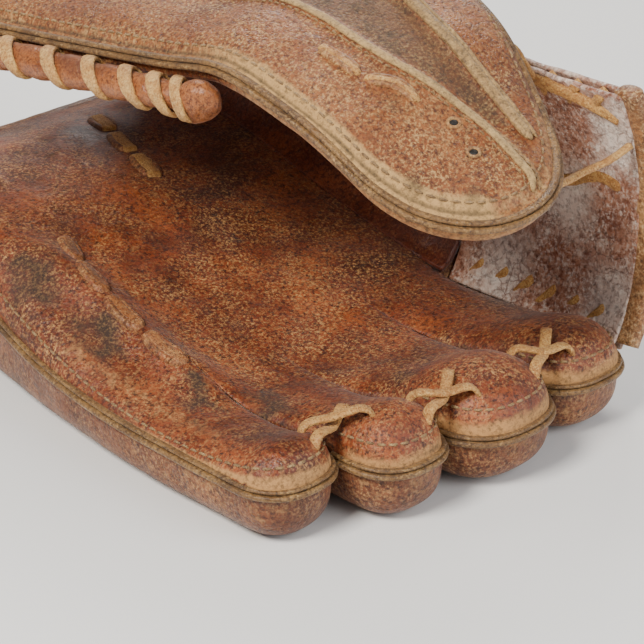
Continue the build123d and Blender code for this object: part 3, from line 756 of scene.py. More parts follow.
welt_hide = make_leather("welt_hide", (0.057, 0.024, 0.007), (0.158, 0.074, 0.021), (0.302, 0.162, 0.048),
                         (0.502, 0.321, 0.126), grain=1100, speckle=0.5, patchy=90)
thread_wax = make_leather("thread_wax", (0.114, 0.059, 0.021), (0.266, 0.153, 0.060), (0.418, 0.270, 0.112),
                          (0.551, 0.387, 0.188), grain=2400, speckle=0.3, patchy=200)
front_surface = surface_of(front_leather)
for finger in FINGERS:
    little = finger == "little"
    start, _ = lane_round(finger)
    index_y = start - 6
    little_y = HEEL_Y + 1 if little else start - 6
    seam_path = lane_seam(finger, 1.0, index_y, little_y, 200 if little else 90)
    outwards = np.gradient(seam_path, axis=0)
    outwards = np.stack([-outwards[:, 1], outwards[:, 0], 0 * outwards[:, 0]], 1)
    outwards /= np.linalg.norm(outwards, axis=1)[:, None]
    welt = sweep(f"{finger}_welt", seam_path + outwards * 0.5, 1.5, 0.95, corners=12)
    upper_lip = sweep("upper_lip", seam_path + outwards * 0.1 + np.array([0, 0, 1.75]), 1.1, 0.62, corners=10)
    welt = join_up([welt, upper_lip], f"{finger}_welt", merge=0.0001)
    stands_for = [f"{finger}_finger_welt"] + ["little_side_welt"] * little
    seam_thread = sew(f"{finger}_seam_thread", front_surface,
                      lane_seam(finger, 0.90, index_y + 3, little_y, 220) + np.array([0, 0, 1.0]))
    for piece, leather, stands in ((welt, welt_hide, stands_for), (seam_thread, thread_wax, ())):
        paint(piece, "wear", 0.12)
        paint(piece, "dirt_and_shade", 0.05)
        if little:
            finish_piece(piece, leather, blend=KNUCKLE_BEND, stands_for=stands)
        else:
            finish_piece(piece, leather, body="finger_row", stands_for=stands)

# ---- Pocket wall -------------------------------------------------------------------------------------
# Past the index finger the front leather folds up, bends round the pocket and runs on under the
# thumb side. The back leather goes round outside it, with felt between.
WALL_X, WALL_Z = -9.0, 55.0
INNER_BEND = 92.5
OUTER_BEND = 102.6
MID_Z = 68.0
CROTCH_Y = -30.0
thumb_under = smooth_line((HEEL_Y, 94), (-100, 99.5), (-60, 103), (-36, 106), (-15, 102), (8, 94),
                          (22, 84.5), (32, 78.5), (45, 73), (64, 68))
THUMB_LEAN = 0.2
THUMB_SEAM_RISE = 6.7
THUMB_INNER_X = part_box("thumb_back")[0][0] / MM


def thumb_seam_height(x, y):
    """The height of the thumb's seam, which leans up towards the web."""
    return thumb_under(y) + THUMB_SEAM_RISE + THUMB_LEAN * (2 - x)


def bend_place(radius, z):
    """The place on the wall's bend at a height."""
    return WALL_X - np.sqrt(radius**2 - (z - WALL_Z) ** 2), z


def wall_place(radius, lower_start, upper_end, upper):
    """Half of the wall's section: a fold and then the bend, up to the middle or on from it."""

    def place(across, along):
        y = HEEL_Y + 0.5 + (CROTCH_Y - HEEL_Y - 0.5) * along
        rise = 1 - across if upper else across
        fold_x, fold_z = upper_end(y) if upper else lower_start(y)
        reach = np.where(fold_z < MID_Z, 15.0, -15.0)
        join_x, join_z = bend_place(radius, fold_z + reach)
        turn = np.clip(rise / 0.4, 0, 1)
        knee_x = (fold_x + 2.4 * join_x) / 3.4
        knee_z = fold_z + reach * 0.12
        x_fold = (1 - turn) ** 2 * fold_x + 2 * turn * (1 - turn) * knee_x + turn**2 * join_x
        z_fold = (1 - turn) ** 2 * fold_z + 2 * turn * (1 - turn) * knee_z + turn**2 * join_z
        z_bend = join_z + (MID_Z - join_z) * np.clip((rise - 0.4) / 0.6, 0, 1)
        x_bend, z_bend = bend_place(radius, z_bend)
        return np.where(rise < 0.4, x_fold, x_bend), y, np.where(rise < 0.4, z_fold, z_bend)

    return place


def inner_low(y):
    return FAR_X + 2.2 + 0 * y, pocket_floor(y) - 1.2


def inner_high(y):
    return THUMB_INNER_X + 2.0 + 0 * y, thumb_seam_height(THUMB_INNER_X, y) - 6.0


def outer_low(y):
    return FAR_X - 1.0 + 0 * y, 12 + wrist_lift(y)


def outer_high(y):
    return THUMB_INNER_X + 1.6 + 0 * y, thumb_seam_height(THUMB_INNER_X, y) + 1.6


pocket_hide = make_leather("pocket_hide", (0.056, 0.009, 0.004), (0.146, 0.027, 0.008), (0.280, 0.065, 0.018),
                           (0.448, 0.190, 0.072), roughness=(0.32, 0.6), speckle=0.4)
LOW_FOLD = ("hand", "pocket", (-0.086, 0, 0), (-0.099, 0, 0))
HIGH_FOLD = ("pocket", "thumb", (-0.099, 0, 0), (-0.083, 0, 0))
for name, radius, upper, stands, hide, slot_name in (
    ("pocket_wall_lower", INNER_BEND, False, ["pocket_leather"], pocket_hide, "pocket_leather"),
    ("pocket_wall_upper", INNER_BEND, True, ["pocket_leather"], pocket_hide, "pocket_leather"),
    ("pocket_back_lower", OUTER_BEND, False, ["pocket_back"], back_hide, "shell_leather"),
    ("pocket_back_upper", OUTER_BEND, True, ["pocket_back"], back_hide, "shell_leather"),
):
    outer = radius > INNER_BEND
    wall = make_patch(name, 36, 84, wall_place(radius, outer_low if outer else inner_low,
                                               outer_high if outer else inner_high, upper))
    if outer:
        flip(wall)
    crumple(wall, 1.8, 24)
    thicken(wall, HIDE_THICKNESS)
    apply_all(wall)
    x, y, z = read_points(wall).T
    paint(wall, "wear", 0.25 * step(y, CROTCH_Y - 8, CROTCH_Y))
    # Painted shade: the inner face darkens low down, about 45 mm up, where the pocket lies in shadow.
    paint(wall, "dirt_and_shade", 0.30 * (1 - outer) * np.exp(-((z - 45) / 25) ** 2))
    finish_piece(wall, hide, blend=HIGH_FOLD if upper else LOW_FOLD, stands_for=stands)

# ---- Thumb side ---------------------------------------------------------------------------------------
# The thumb stall and its heel: a smooth rolled front under the welt, and a wide worn back above it,
# which slopes up to the web. A stitched seam and a sunken gusset run along the web side of the back.
THUMB_ROUND = 2.1
THUMB_BACK_DOME = 2.5
THUMB_FRONT_DOME = 2.6
THUMB_HIDE_THICKNESS = 1.8
THUMB_TURN_Y = 1.0
THUMB_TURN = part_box("thumb_back")[1][1] / MM - THUMB_TURN_Y
thumb_outer_x = smooth_line((HEEL_Y, 10), (-115, 6), (-45, 2), (4, 2), (70, 2))
thumb_inner_x = smooth_line((HEEL_Y, THUMB_INNER_X), (-40, THUMB_INNER_X), (-12, THUMB_INNER_X + 3),
                            (12, THUMB_INNER_X + 8), (60, THUMB_INNER_X + 14))
ridge_low, ridge_high = (Vector(corner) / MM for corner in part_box("thumb_inner_welt"))
gusset_x = smooth_line(
    (HEEL_Y, ridge_high.x + 3), (ridge_low.y, ridge_high.x - 2.5), (ridge_low.y + 28, ridge_high.x - 4.7),
    (ridge_low.y + 42, ridge_high.x - 10.7), (ridge_low.y + 54, ridge_high.x - 14.7),
    (ridge_high.y, ridge_low.x + 1.1),
)
WEB_WELT_SHARE = 0.38  # how far across the thumb side, from its web edge to the ridge
web_welt_x = smooth_line(
    *((y, thumb_inner_x(y) + WEB_WELT_SHARE * (gusset_x(y) - thumb_inner_x(y)) + 7 * step(y, -60, 14))
      for y in (HEEL_Y, -60, -24, 0, 14, 26, 38))
)


def thumb_place(side, y):
    outer, inner = thumb_outer_x(y), thumb_inner_x(y)
    return (outer + inner) / 2 + side * (outer - inner) / 2


def thumb_lean(side):
    """The tip reaches a little further on the web side than on the outer side."""
    return 1 - 0.07 * side


def thumb_nearness(side, y):
    ahead = np.clip((y - THUMB_TURN_Y) / (THUMB_TURN * thumb_lean(side)), 0, 1)
    return np.clip((np.abs(side) ** THUMB_ROUND + ahead**THUMB_ROUND) ** (1 / THUMB_ROUND), 0, 1)


def thumb_grid(across, along):
    side = -np.cos(np.pi * across)
    end = THUMB_TURN_Y + THUMB_TURN * thumb_lean(side) * dome_over(np.abs(side), THUMB_ROUND)
    rows = 0.72
    ahead = np.sin(np.clip((along - rows) / (1 - rows), 0, 1) * np.pi / 2)
    y = np.where(along < rows, HEEL_Y + (THUMB_TURN_Y - 6 - HEEL_Y) * along / rows,
                 THUMB_TURN_Y - 6 + (end - THUMB_TURN_Y + 6) * ahead)
    return side, y


def thumb_top(side, y):
    """The height of the thumb's back, with its ridge at the seam and its sunken gusset."""
    x = thumb_place(side, y)
    dome = dome_over(thumb_nearness(side, y), THUMB_BACK_DOME)
    ridge = 0.8 * np.exp(-(((x - gusset_x(y)) / 2.2) ** 2)) * (1 - step(y, 40, 50))
    sunk = -2.0 * step(gusset_x(y) - x, 1.2, 4.5) * step(x - web_welt_x(y), 0.5, 4) * (1 - step(y, 26, 42))
    groove = -1.3 * np.exp(-(((thumb_nearness(side, y) - 0.955) / 0.022) ** 2)) * (side > -0.4)
    return thumb_seam_height(x, y) + 9.2 * dome + ridge + sunk + groove


def thumb_back_place(across, along):
    side, y = thumb_grid(across, along)
    return thumb_place(side, y), y, thumb_top(side, y)


def thumb_front_place(across, along):
    side, y = thumb_grid(across, along)
    x = thumb_place(side, y)
    dome = dome_over(thumb_nearness(side, y), THUMB_FRONT_DOME)
    roll = 0.9 * np.exp(-(((thumb_nearness(side, y) - 0.97) / 0.03) ** 2))
    spread_out = 1 + 0.012 * np.exp(-(((thumb_nearness(side, y) - 0.97) / 0.03) ** 2))
    return thumb_place(side * spread_out, y), y, thumb_seam_height(x, y) - 0.4 - 8.6 * dome - roll


thumb_hide = make_leather("thumb_hide", (0.071, 0.016, 0.003), (0.202, 0.055, 0.011), (0.297, 0.103, 0.024),
                          (0.493, 0.299, 0.111), dirt_and_shade=(0.034, 0.023, 0.012), speckle=0.9, patchy=30,
                          depth=0.75, crackle=0.2)
thumb_back = make_patch("thumb_back_leather", 64, 170, thumb_back_place)
crumple(thumb_back, 1.6, 30)
thicken(thumb_back, THUMB_HIDE_THICKNESS)
apply_all(thumb_back)


def thumb_side(x, y):
    """The share across the thumb side of a place: -1 at the web side and 1 at the outer edge."""
    outer, inner = thumb_outer_x(y), thumb_inner_x(y)
    return np.clip((x - (outer + inner) / 2) / ((outer - inner) / 2), -1, 1)


def paint_thumb(piece):
    """Cream rubbed bands at the outer seam and the ridge, a dark gusset, and smudges by the lace."""
    x, y, _ = read_points(piece).T
    side = thumb_side(x, y)
    near = thumb_nearness(side, y)
    outer = step(side, 0.0, 0.4)
    band = outer * step(near, 0.82, 0.93) * (0.45 + 0.55 * step(y, -60, -10))
    band = np.maximum(band, 0.5 * step(near, 0.66, 0.96) * step(y, 10, 34))
    inner = (x < gusset_x(y) + 2.6) & (x > gusset_x(y) - 5.5)
    torn = 0.62 * np.exp(-(((x - gusset_x(y) + 2.5) / 2.6) ** 2)) * inner
    paint(piece, "wear", np.maximum(band * 0.85, torn))
    gusset = 0.66 * step(gusset_x(y) - x, 3.0, 6.0) * step(x - web_welt_x(y), -1, 3) * (1 - step(y, 26, 40))
    groove = 0.7 * np.exp(-(((near - 0.955) / 0.016) ** 2)) * outer
    dirt_and_shade = np.maximum(gusset, groove)
    for spot_x, spot_y, size, strength in ((-19, 12, 8, 0.50), (-9, 30, 5, 0.62), (-20, 42, 5, 0.6),
                                           (-29, 33, 7, 0.40), (-3, -40, 14, 0.3)):
        dirt_and_shade = np.maximum(dirt_and_shade, strength * np.exp(-((x - spot_x) ** 2 + (y - spot_y) ** 2) / size**2))
    paint(piece, "dirt_and_shade", dirt_and_shade)


paint_thumb(thumb_back)
finish_piece(thumb_back, thumb_hide, body="thumb", stands_for=["thumb_back"])

thumb_front = make_patch("thumb_front_leather", 44, 120, thumb_front_place)
flip(thumb_front)
crumple(thumb_front, 1.0, 20)
thicken(thumb_front, THUMB_HIDE_THICKNESS)
apply_all(thumb_front)
x, y, _ = read_points(thumb_front).T
paint(thumb_front, "wear", 0.55 * step(thumb_nearness(thumb_side(x, y), y), 0.90, 0.98) * step(y, -70, -20))
paint(thumb_front, "dirt_and_shade", 0)
finish_piece(thumb_front, palm_hide, body="thumb", stands_for=["thumb_front"])

# A sheet of felt stiffens the thumb side, between its front and its back. A strip of leather closes
# its wrist end over the felt.


def thumb_felt_place(across, along):
    side = 0.8 * (2 * across - 1)
    y = HEEL_Y + 3 + (22 - HEEL_Y) * along
    return thumb_place(side, y), y, thumb_seam_height(thumb_place(side, y), y) - 1.5


thumb_felt_pad = make_patch("thumb_felt_pad", 18, 40, thumb_felt_place)
thicken(thumb_felt_pad, 3.0, smooth=0)
finish_piece(thumb_felt_pad, wool_felt, body="thumb", stands_for=["thumb_felt"])


def close_end(name, place, body=None, leather=back_hide, outward=True, blend=None):
    """A gently bulging strip of leather over an open end, between two edges of the leathers."""
    cap = make_patch(name, 60, 8, place)
    if outward:
        flip(cap)
    thicken(cap, 1.2)
    apply_all(cap)
    paint(cap, "wear", 0.25)
    paint(cap, "dirt_and_shade", 0.2)
    finish_piece(cap, leather, body=body, blend=blend)


def thumb_end_place(across, along):
    side = 0.985 * (2 * across - 1)
    x = thumb_place(side, HEEL_Y)
    dome = dome_over(np.abs(side), THUMB_FRONT_DOME)
    low = thumb_seam_height(x, HEEL_Y) - 0.2 - 8.4 * dome
    high = thumb_seam_height(x, HEEL_Y) + 9.0 * dome
    return x, HEEL_Y + 1.2 - 1.6 * np.sin(np.pi * along), low + (high - low) * along


close_end("thumb_wrist_end", thumb_end_place, "thumb")

# ---- Seams of the thumb side --------------------------------------------------------------------------
# A doubled, greasy welt lies sunk in the seam round the thumb. A flat sewn ridge divides the back
# from the gusset, and a rolled welt edges the gusset on the web side.
thumb_surface = surface_of(thumb_back)


def thumb_seam(near, outer_y, web_y, count, rise=0.0):
    """The way round the thumb at one nearness to its seam, from the wrist round the tip to the web."""
    turn = np.linspace(0, np.pi, 80)
    side = near * np.sign(np.cos(turn)) * np.abs(np.cos(turn)) ** (2 / THUMB_ROUND)
    y = THUMB_TURN_Y + THUMB_TURN * thumb_lean(side) * near * np.sin(turn) ** (2 / THUMB_ROUND)
    side = np.concatenate([np.full(60, near), side, np.full(20, -near)])
    y = np.concatenate([np.linspace(outer_y, THUMB_TURN_Y - 0.5, 60), y,
                        np.linspace(THUMB_TURN_Y - 0.5, web_y, 20)])
    x = thumb_place(side, y)
    height = thumb_seam_height(x, y) if near == 1 else thumb_top(side, y)
    return spread(np.stack([x, y, height + rise], 1), count)


seam_way = thumb_seam(1.0, HEEL_Y + 1, -30, 240)
outwards = np.gradient(seam_way, axis=0)
outwards = np.stack([outwards[:, 1], -outwards[:, 0], 0 * outwards[:, 0]], 1)
outwards /= np.linalg.norm(outwards, axis=1)[:, None]
thumb_welt = join_up([
    sweep("lower_lip", seam_way + outwards * 0.9 + np.array([0, 0, 0.1]), 1.5, 0.95, corners=12),
    sweep("upper_lip", seam_way + outwards * 0.2 + np.array([0, 0, 1.9]), 1.2, 0.75, corners=12),
], "thumb_welt_strip", merge=0.0001)
ridge_y = np.linspace(HEEL_Y + 6, ridge_high.y, 60)
ridge_places = [(gusset_x(y), y) for y in ridge_y] + [
    (ridge_low.x + 0.8, ridge_high.y + 4), (ridge_low.x + 3, ridge_high.y + 7)]
ridge_points = [(x, y, thumb_top(thumb_side(x, y), y)) for x, y in ridge_places]
ridge_way, ridge_ups = lie_on(thumb_surface, spread(ridge_points, 160), 0.25)
inner_ridge = sweep("thumb_ridge", ridge_way, 1.35, 0.65, ridge_ups, corners=12, taper=0.02)
roll_points = [(web_welt_x(y), y, thumb_top(thumb_side(web_welt_x(y), y), y))
               for y in np.linspace(-120, 38, 50)]
roll_way, roll_ups = lie_on(thumb_surface, spread(roll_points, 120), 0.4)
web_side_welt = join_up([
    sweep("wide_roll", roll_way, 1.9, 1.2, roll_ups, corners=12, square=2, taper=0.02),
    sweep("thin_roll", roll_way + np.cross(np.gradient(roll_way, axis=0), roll_ups) * -1.6, 0.8, 0.8,
          roll_ups, corners=8, square=2, taper=0.02),
], "web_side_welt", merge=0.0001)
outer_thread = sew("thumb_seam_thread", thumb_surface, thumb_seam(0.925, HEEL_Y + 3, 0, 300, 1.0))
ridge_aside = np.cross(np.gradient(ridge_way, axis=0), ridge_ups)
ridge_threads = join_up([
    sew("ridge_thread", thumb_surface, ridge_way + ridge_aside * shift, pitch=2.6, length=1.9, thread=0.32)
    for shift in (-1.6, 1.6)
], "thumb_ridge_thread", merge=0.0001)
for piece, leather, worn, stands in (
    (thumb_welt, welt_hide, 0.10, ["thumb_welt"]),
    (inner_ridge, welt_hide, 0.62, ["thumb_inner_welt"]),
    (web_side_welt, welt_hide, 0.50, []),
    (outer_thread, thread_wax, 0.0, []),
    (ridge_threads, thread_wax, 0.2, []),
):
    paint(piece, "wear", worn)
    paint(piece, "dirt_and_shade", 0.12)
    finish_piece(piece, leather, body="thumb", stands_for=stands)

# ---- Laces ----------------------------------------------------------------------------------------------
# Rawhide lace, a flat strip with furred edges, dives in and out of punched holes. It ties the
# fingertips in crosses, and runs along the palm, the little finger and the thumb in lipped grooves.
lace_hide = make_leather("lace_hide", (0.258, 0.095, 0.020), (0.447, 0.213, 0.052), (0.568, 0.332, 0.099),
                         (0.707, 0.497, 0.194), dirt_and_shade=(0.24, 0.065, 0.020), grain=1500, speckle=0.6,
                         patchy=170, depth=0.7, roughness=(0.6, 0.85))


def box_mm(node):
    """A CAD piece's lowest and highest corner, in millimetres."""
    return [Vector(corner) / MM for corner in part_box(node)]


def lay(surface, points, count, rise, sink=1.8, ends=0.10):
    """A strip's way over a surface: up out of the leather, along it, and in again."""
    way, ups = lie_on(surface, spread(points, count), rise)
    share = np.linspace(0, 1, count)
    dive = 1 - step(np.minimum(share, 1 - share), 0, ends)
    return way - ups * (dive * sink)[:, None], ups


def fray(piece, depth=0.35, size=1.4):
    """The furred, uneven skin of an old lace."""
    crumple(piece, depth, size)
    apply_all(piece)


def finish_lace(piece, body=None, stands_for=(), blend=None, worn=0.15, dirt_and_shade_amount=0.12):
    paint(piece, "wear", worn)
    paint(piece, "dirt_and_shade", dirt_and_shade_amount)
    finish_piece(piece, lace_hide, body=body, stands_for=stands_for, blend=blend)


for first, second in (("little", "ring"), ("ring", "middle"), ("middle", "index")):
    low, high = box_mm(f"{first}_{second}_tip_lace")
    middle = (low + high) / 2
    reach, depth = (high.x - low.x) / 2 + 0.6, (high.y - low.y) / 2 + 0.4
    arms = []
    for turn, over, back_end, front_end in ((1, 0.0, 1.7, 1.55), (-1, 1.25, 1.25, 1.25)):
        ends = [(middle.x - reach * back_end, middle.y - turn * depth * back_end, 36),
                (middle.x + reach * front_end * 0.8, middle.y + turn * depth * front_end, 34)]
        (near_end, far_end), _ = lie_on(front_surface, ends, 0.0)
        crown = (near_end[2] + far_end[2]) / 2 + 0.1 + over
        lift = np.array([0, 0, 1.0])
        centre = np.array([middle.x, middle.y, crown])
        way = spread([near_end - lift * 1.6, near_end * 0.86 + centre * 0.14 + lift * 0.9, centre,
                      far_end * 0.86 + centre * 0.14 + lift * 0.9, far_end - lift * 1.6], 40)
        arms.append(sweep("arm", way, 1.75, 0.8, corners=12, square=3.2))
    cross = join_up(arms, f"{first}_{second}_cross", merge=0.0001)
    fray(cross)
    finish_lace(cross, body="finger_row", stands_for=[f"{first}_{second}_tip_lace"])


def running_lace(name, surface, points, shares, half_width, lip_leather, stands_for, body=None,
                 blend=None, colour=lace_hide):
    """Stretches of lace between holes, each in a groove with a raised leather lip on both sides."""
    way = spread(points, 200)
    stretches, lips = [], []
    for start, end in shares:
        part = way[int(start * 199): int(end * 199) + 1]
        laid, ups = lay(surface, part, 36, 0.5)
        across = np.cross(np.gradient(laid, axis=0), ups)
        across /= np.linalg.norm(across, axis=1)[:, None]
        stretches.append(sweep("stretch", laid, half_width, 0.85, ups, corners=12, square=3))
        for shift in (-1, 1):
            edge, edge_ups = lay(surface, part, 36, -0.25, sink=1.2, ends=0.2)
            swell = np.sin(np.pi * np.linspace(0, 1, 36)) ** 0.5
            edge = edge + across * (shift * (half_width * (0.35 + 0.75 * swell)))[:, None]
            lips.append(sweep("lip", edge, 1.35, 1.5, edge_ups, corners=10, square=2, taper=0.2))
    lace = join_up(stretches, name, merge=0.0001)
    fray(lace, 0.25, 2.0)
    paint(lace, "wear", 0.2)
    paint(lace, "dirt_and_shade", 0.15)
    finish_piece(lace, colour, body=body, blend=blend, stands_for=stands_for)
    edges = join_up(lips, f"{name}_lips", merge=0.0001)
    paint(edges, "wear", 0.42)
    paint(edges, "dirt_and_shade", 0.10)
    finish_piece(edges, lip_leather, body=body, blend=blend)


def along_box(node, bow, before=(0, 0), beyond=(0, 0), lifted=60):
    """The way of a lace through its CAD piece's box, with its middle bowed sideways by bow."""
    low, high = box_mm(node)
    start = np.array([low.x + 2.3 + before[0], low.y + before[1]])
    end = np.array([high.x - 2.3 + beyond[0], high.y + beyond[1]])
    middle = (start + end) / 2 + np.array([bow, 0])
    return [(*place, lifted) for place in (start, (start + middle) / 2 + (bow / 4, 0), middle,
                                          (middle + end) / 2 + (bow / 4, 0), end)]


oiled_lace = make_leather("oiled_lace", (0.090, 0.023, 0.006), (0.243, 0.077, 0.020), (0.414, 0.180, 0.054),
                          (0.608, 0.380, 0.162), grain=1300, speckle=0.45, patchy=110)
running_lace("little_finger_running_lace", front_surface,
             along_box("little_finger_lace", 1.6, beyond=(1.5, 16), lifted=42),
             ((0, 0.19), (0.21, 0.46), (0.48, 0.72), (0.74, 1)), 2.1, palm_hide,
             ["little_finger_lace"], blend=KNUCKLE_BEND, colour=oiled_lace)
running_lace("palm_running_lace", front_surface, along_box("palm_lace", 0.6, lifted=52),
             ((0, 0.28), (0.33, 0.62), (0.68, 1)), 2.7, palm_hide,
             ["palm_lace"], body="hand")

lace_low, lace_high = box_mm("thumb_lace")
thumb_lace_points = [
    (lace_high.x - 1.6, lace_low.y - 4, 125), (lace_high.x - 2.2, lace_low.y + 6, 122),
    (lace_high.x - 2.6, lace_low.y + 13, 119), (lace_low.x + 3.6, lace_high.y - 6, 117),
    (lace_low.x + 1.0, lace_high.y + 1, 112),
]
running_lace("thumb_running_lace", thumb_surface, thumb_lace_points, ((0.0, 0.46), (0.50, 1.0)), 1.1,
             thumb_hide, ["thumb_lace"], body="thumb")

# Two punched holes further on have lost their lace. Their rims are pale and swollen, and each hole is a
# near-black disc of painted shadow rather than a cut.


def ring_way(centre, normal, radius, count=30, over=1.03):
    """A closed round way about a normal."""
    normal = Vector(normal).normalized()
    first = normal.cross(Vector((0.3, 1, 0.2))).normalized()
    second = normal.cross(first)
    angles = np.linspace(0, 2 * np.pi * over, count)
    return np.array([np.array(centre) + np.array(first) * radius * math.cos(a)
                     + np.array(second) * radius * 0.8 * math.sin(a) for a in angles])


rims, hole_shadow_discs = [], []
for hole_x, hole_y in ((lace_low.x - 3.3, lace_high.y + 11.7), (lace_low.x - 0.8, lace_high.y + 23.7)):
    (place,), (normal,) = lie_on(thumb_surface, [(hole_x, hole_y, 110)], 0.0)
    rim_way = ring_way(place + normal * 0.1, normal, 1.9)
    rims.append(sweep("rim", rim_way, 0.55, 0.45, normal, corners=8, square=2))
    # A near-black disc, set a little proud of the leather, paints the shadow inside the hole.
    hole_shadow_way = np.array([place - normal * 1.2, place + normal * 0.02, place + normal * 0.14])
    hole_shadow_discs.append(sweep("hollow", hole_shadow_way, 1.6, 1.3, (0.3, 1, 0.2), corners=16, square=2))
hole_rims = join_up(rims, "thumb_hole_rims", merge=0.0001)
paint(hole_rims, "wear", 0.5)
finish_piece(hole_rims, thumb_hide, body="thumb")
painted_hole_shadow = make_leather("painted_hole_shadow", (0.004, 0.003, 0.002), (0.010, 0.007, 0.005), (0.022, 0.014, 0.010),
                          (0.05, 0.035, 0.025), speckle=0.2)
thumb_hole_painted_shadows = join_up(hole_shadow_discs, "thumb_hole_painted_shadows", merge=0.0001)
finish_piece(thumb_hole_painted_shadows, painted_hole_shadow, body="thumb")

# ---- Heel roll of the thumb side ------------------------------------------------------------------------
# The thumb side's edge is rolled at the heel and bound with slanting turns of rawhide lace, which
# pinch it. It ends in a rounded bud of leather that the last turn of lace goes round.
roll_low, roll_high = box_mm("heel_roll")
ROLL_RADIUS = 4.5
ROLL_SWELL = 1.12
roll_start = np.array([roll_low.x + ROLL_RADIUS, roll_high.y, roll_high.z - ROLL_RADIUS])
roll_end = np.array([roll_high.x - ROLL_RADIUS, roll_low.y, roll_low.z + ROLL_RADIUS])
roll_length = np.linalg.norm(roll_end - roll_start)
roll_ahead = (roll_end - roll_start) / roll_length
roll_over = np.array([0, -roll_ahead[2], roll_ahead[1]])
roll_over = roll_over * np.sign(roll_over[2]) / np.linalg.norm(roll_over)
roll_across = np.cross(roll_ahead, roll_over)
TURNS = (9, 21, 37, 55, 74, 94, 114)
roll_gone = np.linspace(0, roll_length, 160)
pinch = sum(np.exp(-(((roll_gone - turn) / 3.6) ** 2)) for turn in TURNS)
thickness = ROLL_RADIUS * ROLL_SWELL * (1.0 - 0.13 * pinch) * (0.72 + 0.28 * step(roll_gone, 0, 6))
heel_roll = sweep("heel_roll_leather", roll_start + roll_ahead * roll_gone[:, None], thickness, thickness,
                  roll_over, corners=28, square=2)
crumple(heel_roll, 1.0, 9)
apply_all(heel_roll)
bpy.ops.object.select_all(action="DESELECT")
bpy.ops.mesh.primitive_uv_sphere_add(segments=40, ring_count=24, radius=1, location=(0, 0, 0))
bud = bpy.context.object
bud.scale = (5.2 * MM, 7.8 * MM, 6.6 * MM)
bud.location = Vector(roll_start + np.array([-0.6, 4.6, 0.6])) * MM
bud.rotation_euler = (0.5, 0.2, 0.3)
bpy.ops.object.transform_apply(location=True, rotation=True, scale=True)
bud.name = "roll_bud"
crumple(bud, 2.6, 8)
apply_all(bud)
heel_roll = join_up([heel_roll, bud], "heel_roll_leather", merge=0.0001)
paint(heel_roll, "wear", 0.08)
paint(heel_roll, "dirt_and_shade", 0.05)
roll_hide = make_leather("roll_hide", (0.096, 0.021, 0.005), (0.266, 0.078, 0.018), (0.385, 0.137, 0.038),
                         (0.557, 0.307, 0.125), speckle=0.25, roughness=(0.26, 0.5), grain=1300, depth=0.25,
                         crackle=0.1)
finish_piece(heel_roll, roll_hide, body="thumb", stands_for=["heel_roll"])
wraps = []
for turn in TURNS:
    angles = np.linspace(0, 2 * np.pi * 1.02, 44)
    slant = 4.6 * np.cos(angles - 0.9)
    radius = ROLL_RADIUS * ROLL_SWELL * 0.90 + 0.75
    outward = roll_across * np.cos(angles)[:, None] + roll_over * np.sin(angles)[:, None]
    way = roll_start + roll_ahead * (turn + slant)[:, None] + outward * radius
    wraps.append(sweep("wrap", way, 2.35, 0.8, outward, corners=12, square=3))
angles = np.linspace(0, 2 * np.pi * 1.02, 50)
outward = roll_across * np.cos(angles)[:, None] + roll_over * np.sin(angles)[:, None]
bud_way = roll_start + roll_ahead * (1.2 + 4.0 * np.cos(angles - 0.5))[:, None] + outward * 5.6
wraps.append(sweep("bud_wrap", bud_way, 2.0, 0.8, outward, corners=12, square=3))
heel_wraps = join_up(wraps, "heel_roll_wraps", merge=0.0001)
fray(heel_wraps, 0.5, 1.6)
finish_lace(heel_wraps, body="thumb", stands_for=["heel_lace"], worn=0.4, dirt_and_shade_amount=0.22)

# ---- Web ------------------------------------------------------------------------------------------------
# Two soft panels close the space between thumb and index finger, sewn back to back. They are cracked
# and bleached, are laced to both sides and have a thick band along their top.
web_hide = make_leather("web_hide", (0.170, 0.047, 0.019), (0.374, 0.162, 0.089), (0.544, 0.357, 0.255),
                        (0.740, 0.647, 0.555), dirt_and_shade=(0.13, 0.032, 0.013), speckle=0.9, grain=620, patchy=75,
                        crackle=0.7, depth=0.8, roughness=(0.6, 0.85))
panel_low, panel_high = box_mm("web_inner_panel")
PANEL_GAP = 2.1
TUCK_SHARE = 0.10  # share of a panel's height, from its lower edge, that is tucked in


def web_place(radius, slack, tuck_in, tuck_down):
    """A panel on the bend, sagging by slack, with its lower edge tucked in and down at the index finger."""

    def place(across, along):
        z = panel_low.z + 1.5 + (panel_high.z - panel_low.z - 3) * across
        y = panel_low.y + (panel_high.y - panel_low.y + 3) * along
        sag = slack * np.sin(np.pi * across) * np.sin(np.pi * along)
        x, z = bend_place(radius + sag, z)
        tuck = np.clip(1 - across / TUCK_SHARE, 0, 1)
        return x + tuck_in * tuck, y, z - tuck_down * tuck

    return place


for name, radius, slack, tuck_in, tuck_down, node in (
        ("web_inner_leather", INNER_BEND, 0.5, 2.2, 0.6, "web_inner_panel"),
        ("web_outer_leather", INNER_BEND + PANEL_GAP, 0.9, 1.8, 3.2, "web_outer_panel")):
    panel = make_patch(name, 60, 50, web_place(radius, slack, tuck_in, tuck_down))
    if node == "web_outer_panel":
        flip(panel)
    crumple(panel, 1.3, 11)
    thicken(panel, 1.3)
    apply_all(panel)
    x, y, z = read_points(panel).T
    paint(panel, "wear", 0.42 + 0.25 * np.sin(y / 7) * np.cos(z / 9))
    low_grime = 0.35 * np.exp(-(((z - 60) / 20) ** 2))
    paint(panel, "dirt_and_shade", low_grime + 0.55 * np.exp(-((y - 2) ** 2 + (z - 99) ** 2) / 12))
    finish_piece(panel, web_hide, body="pocket", stands_for=[node])

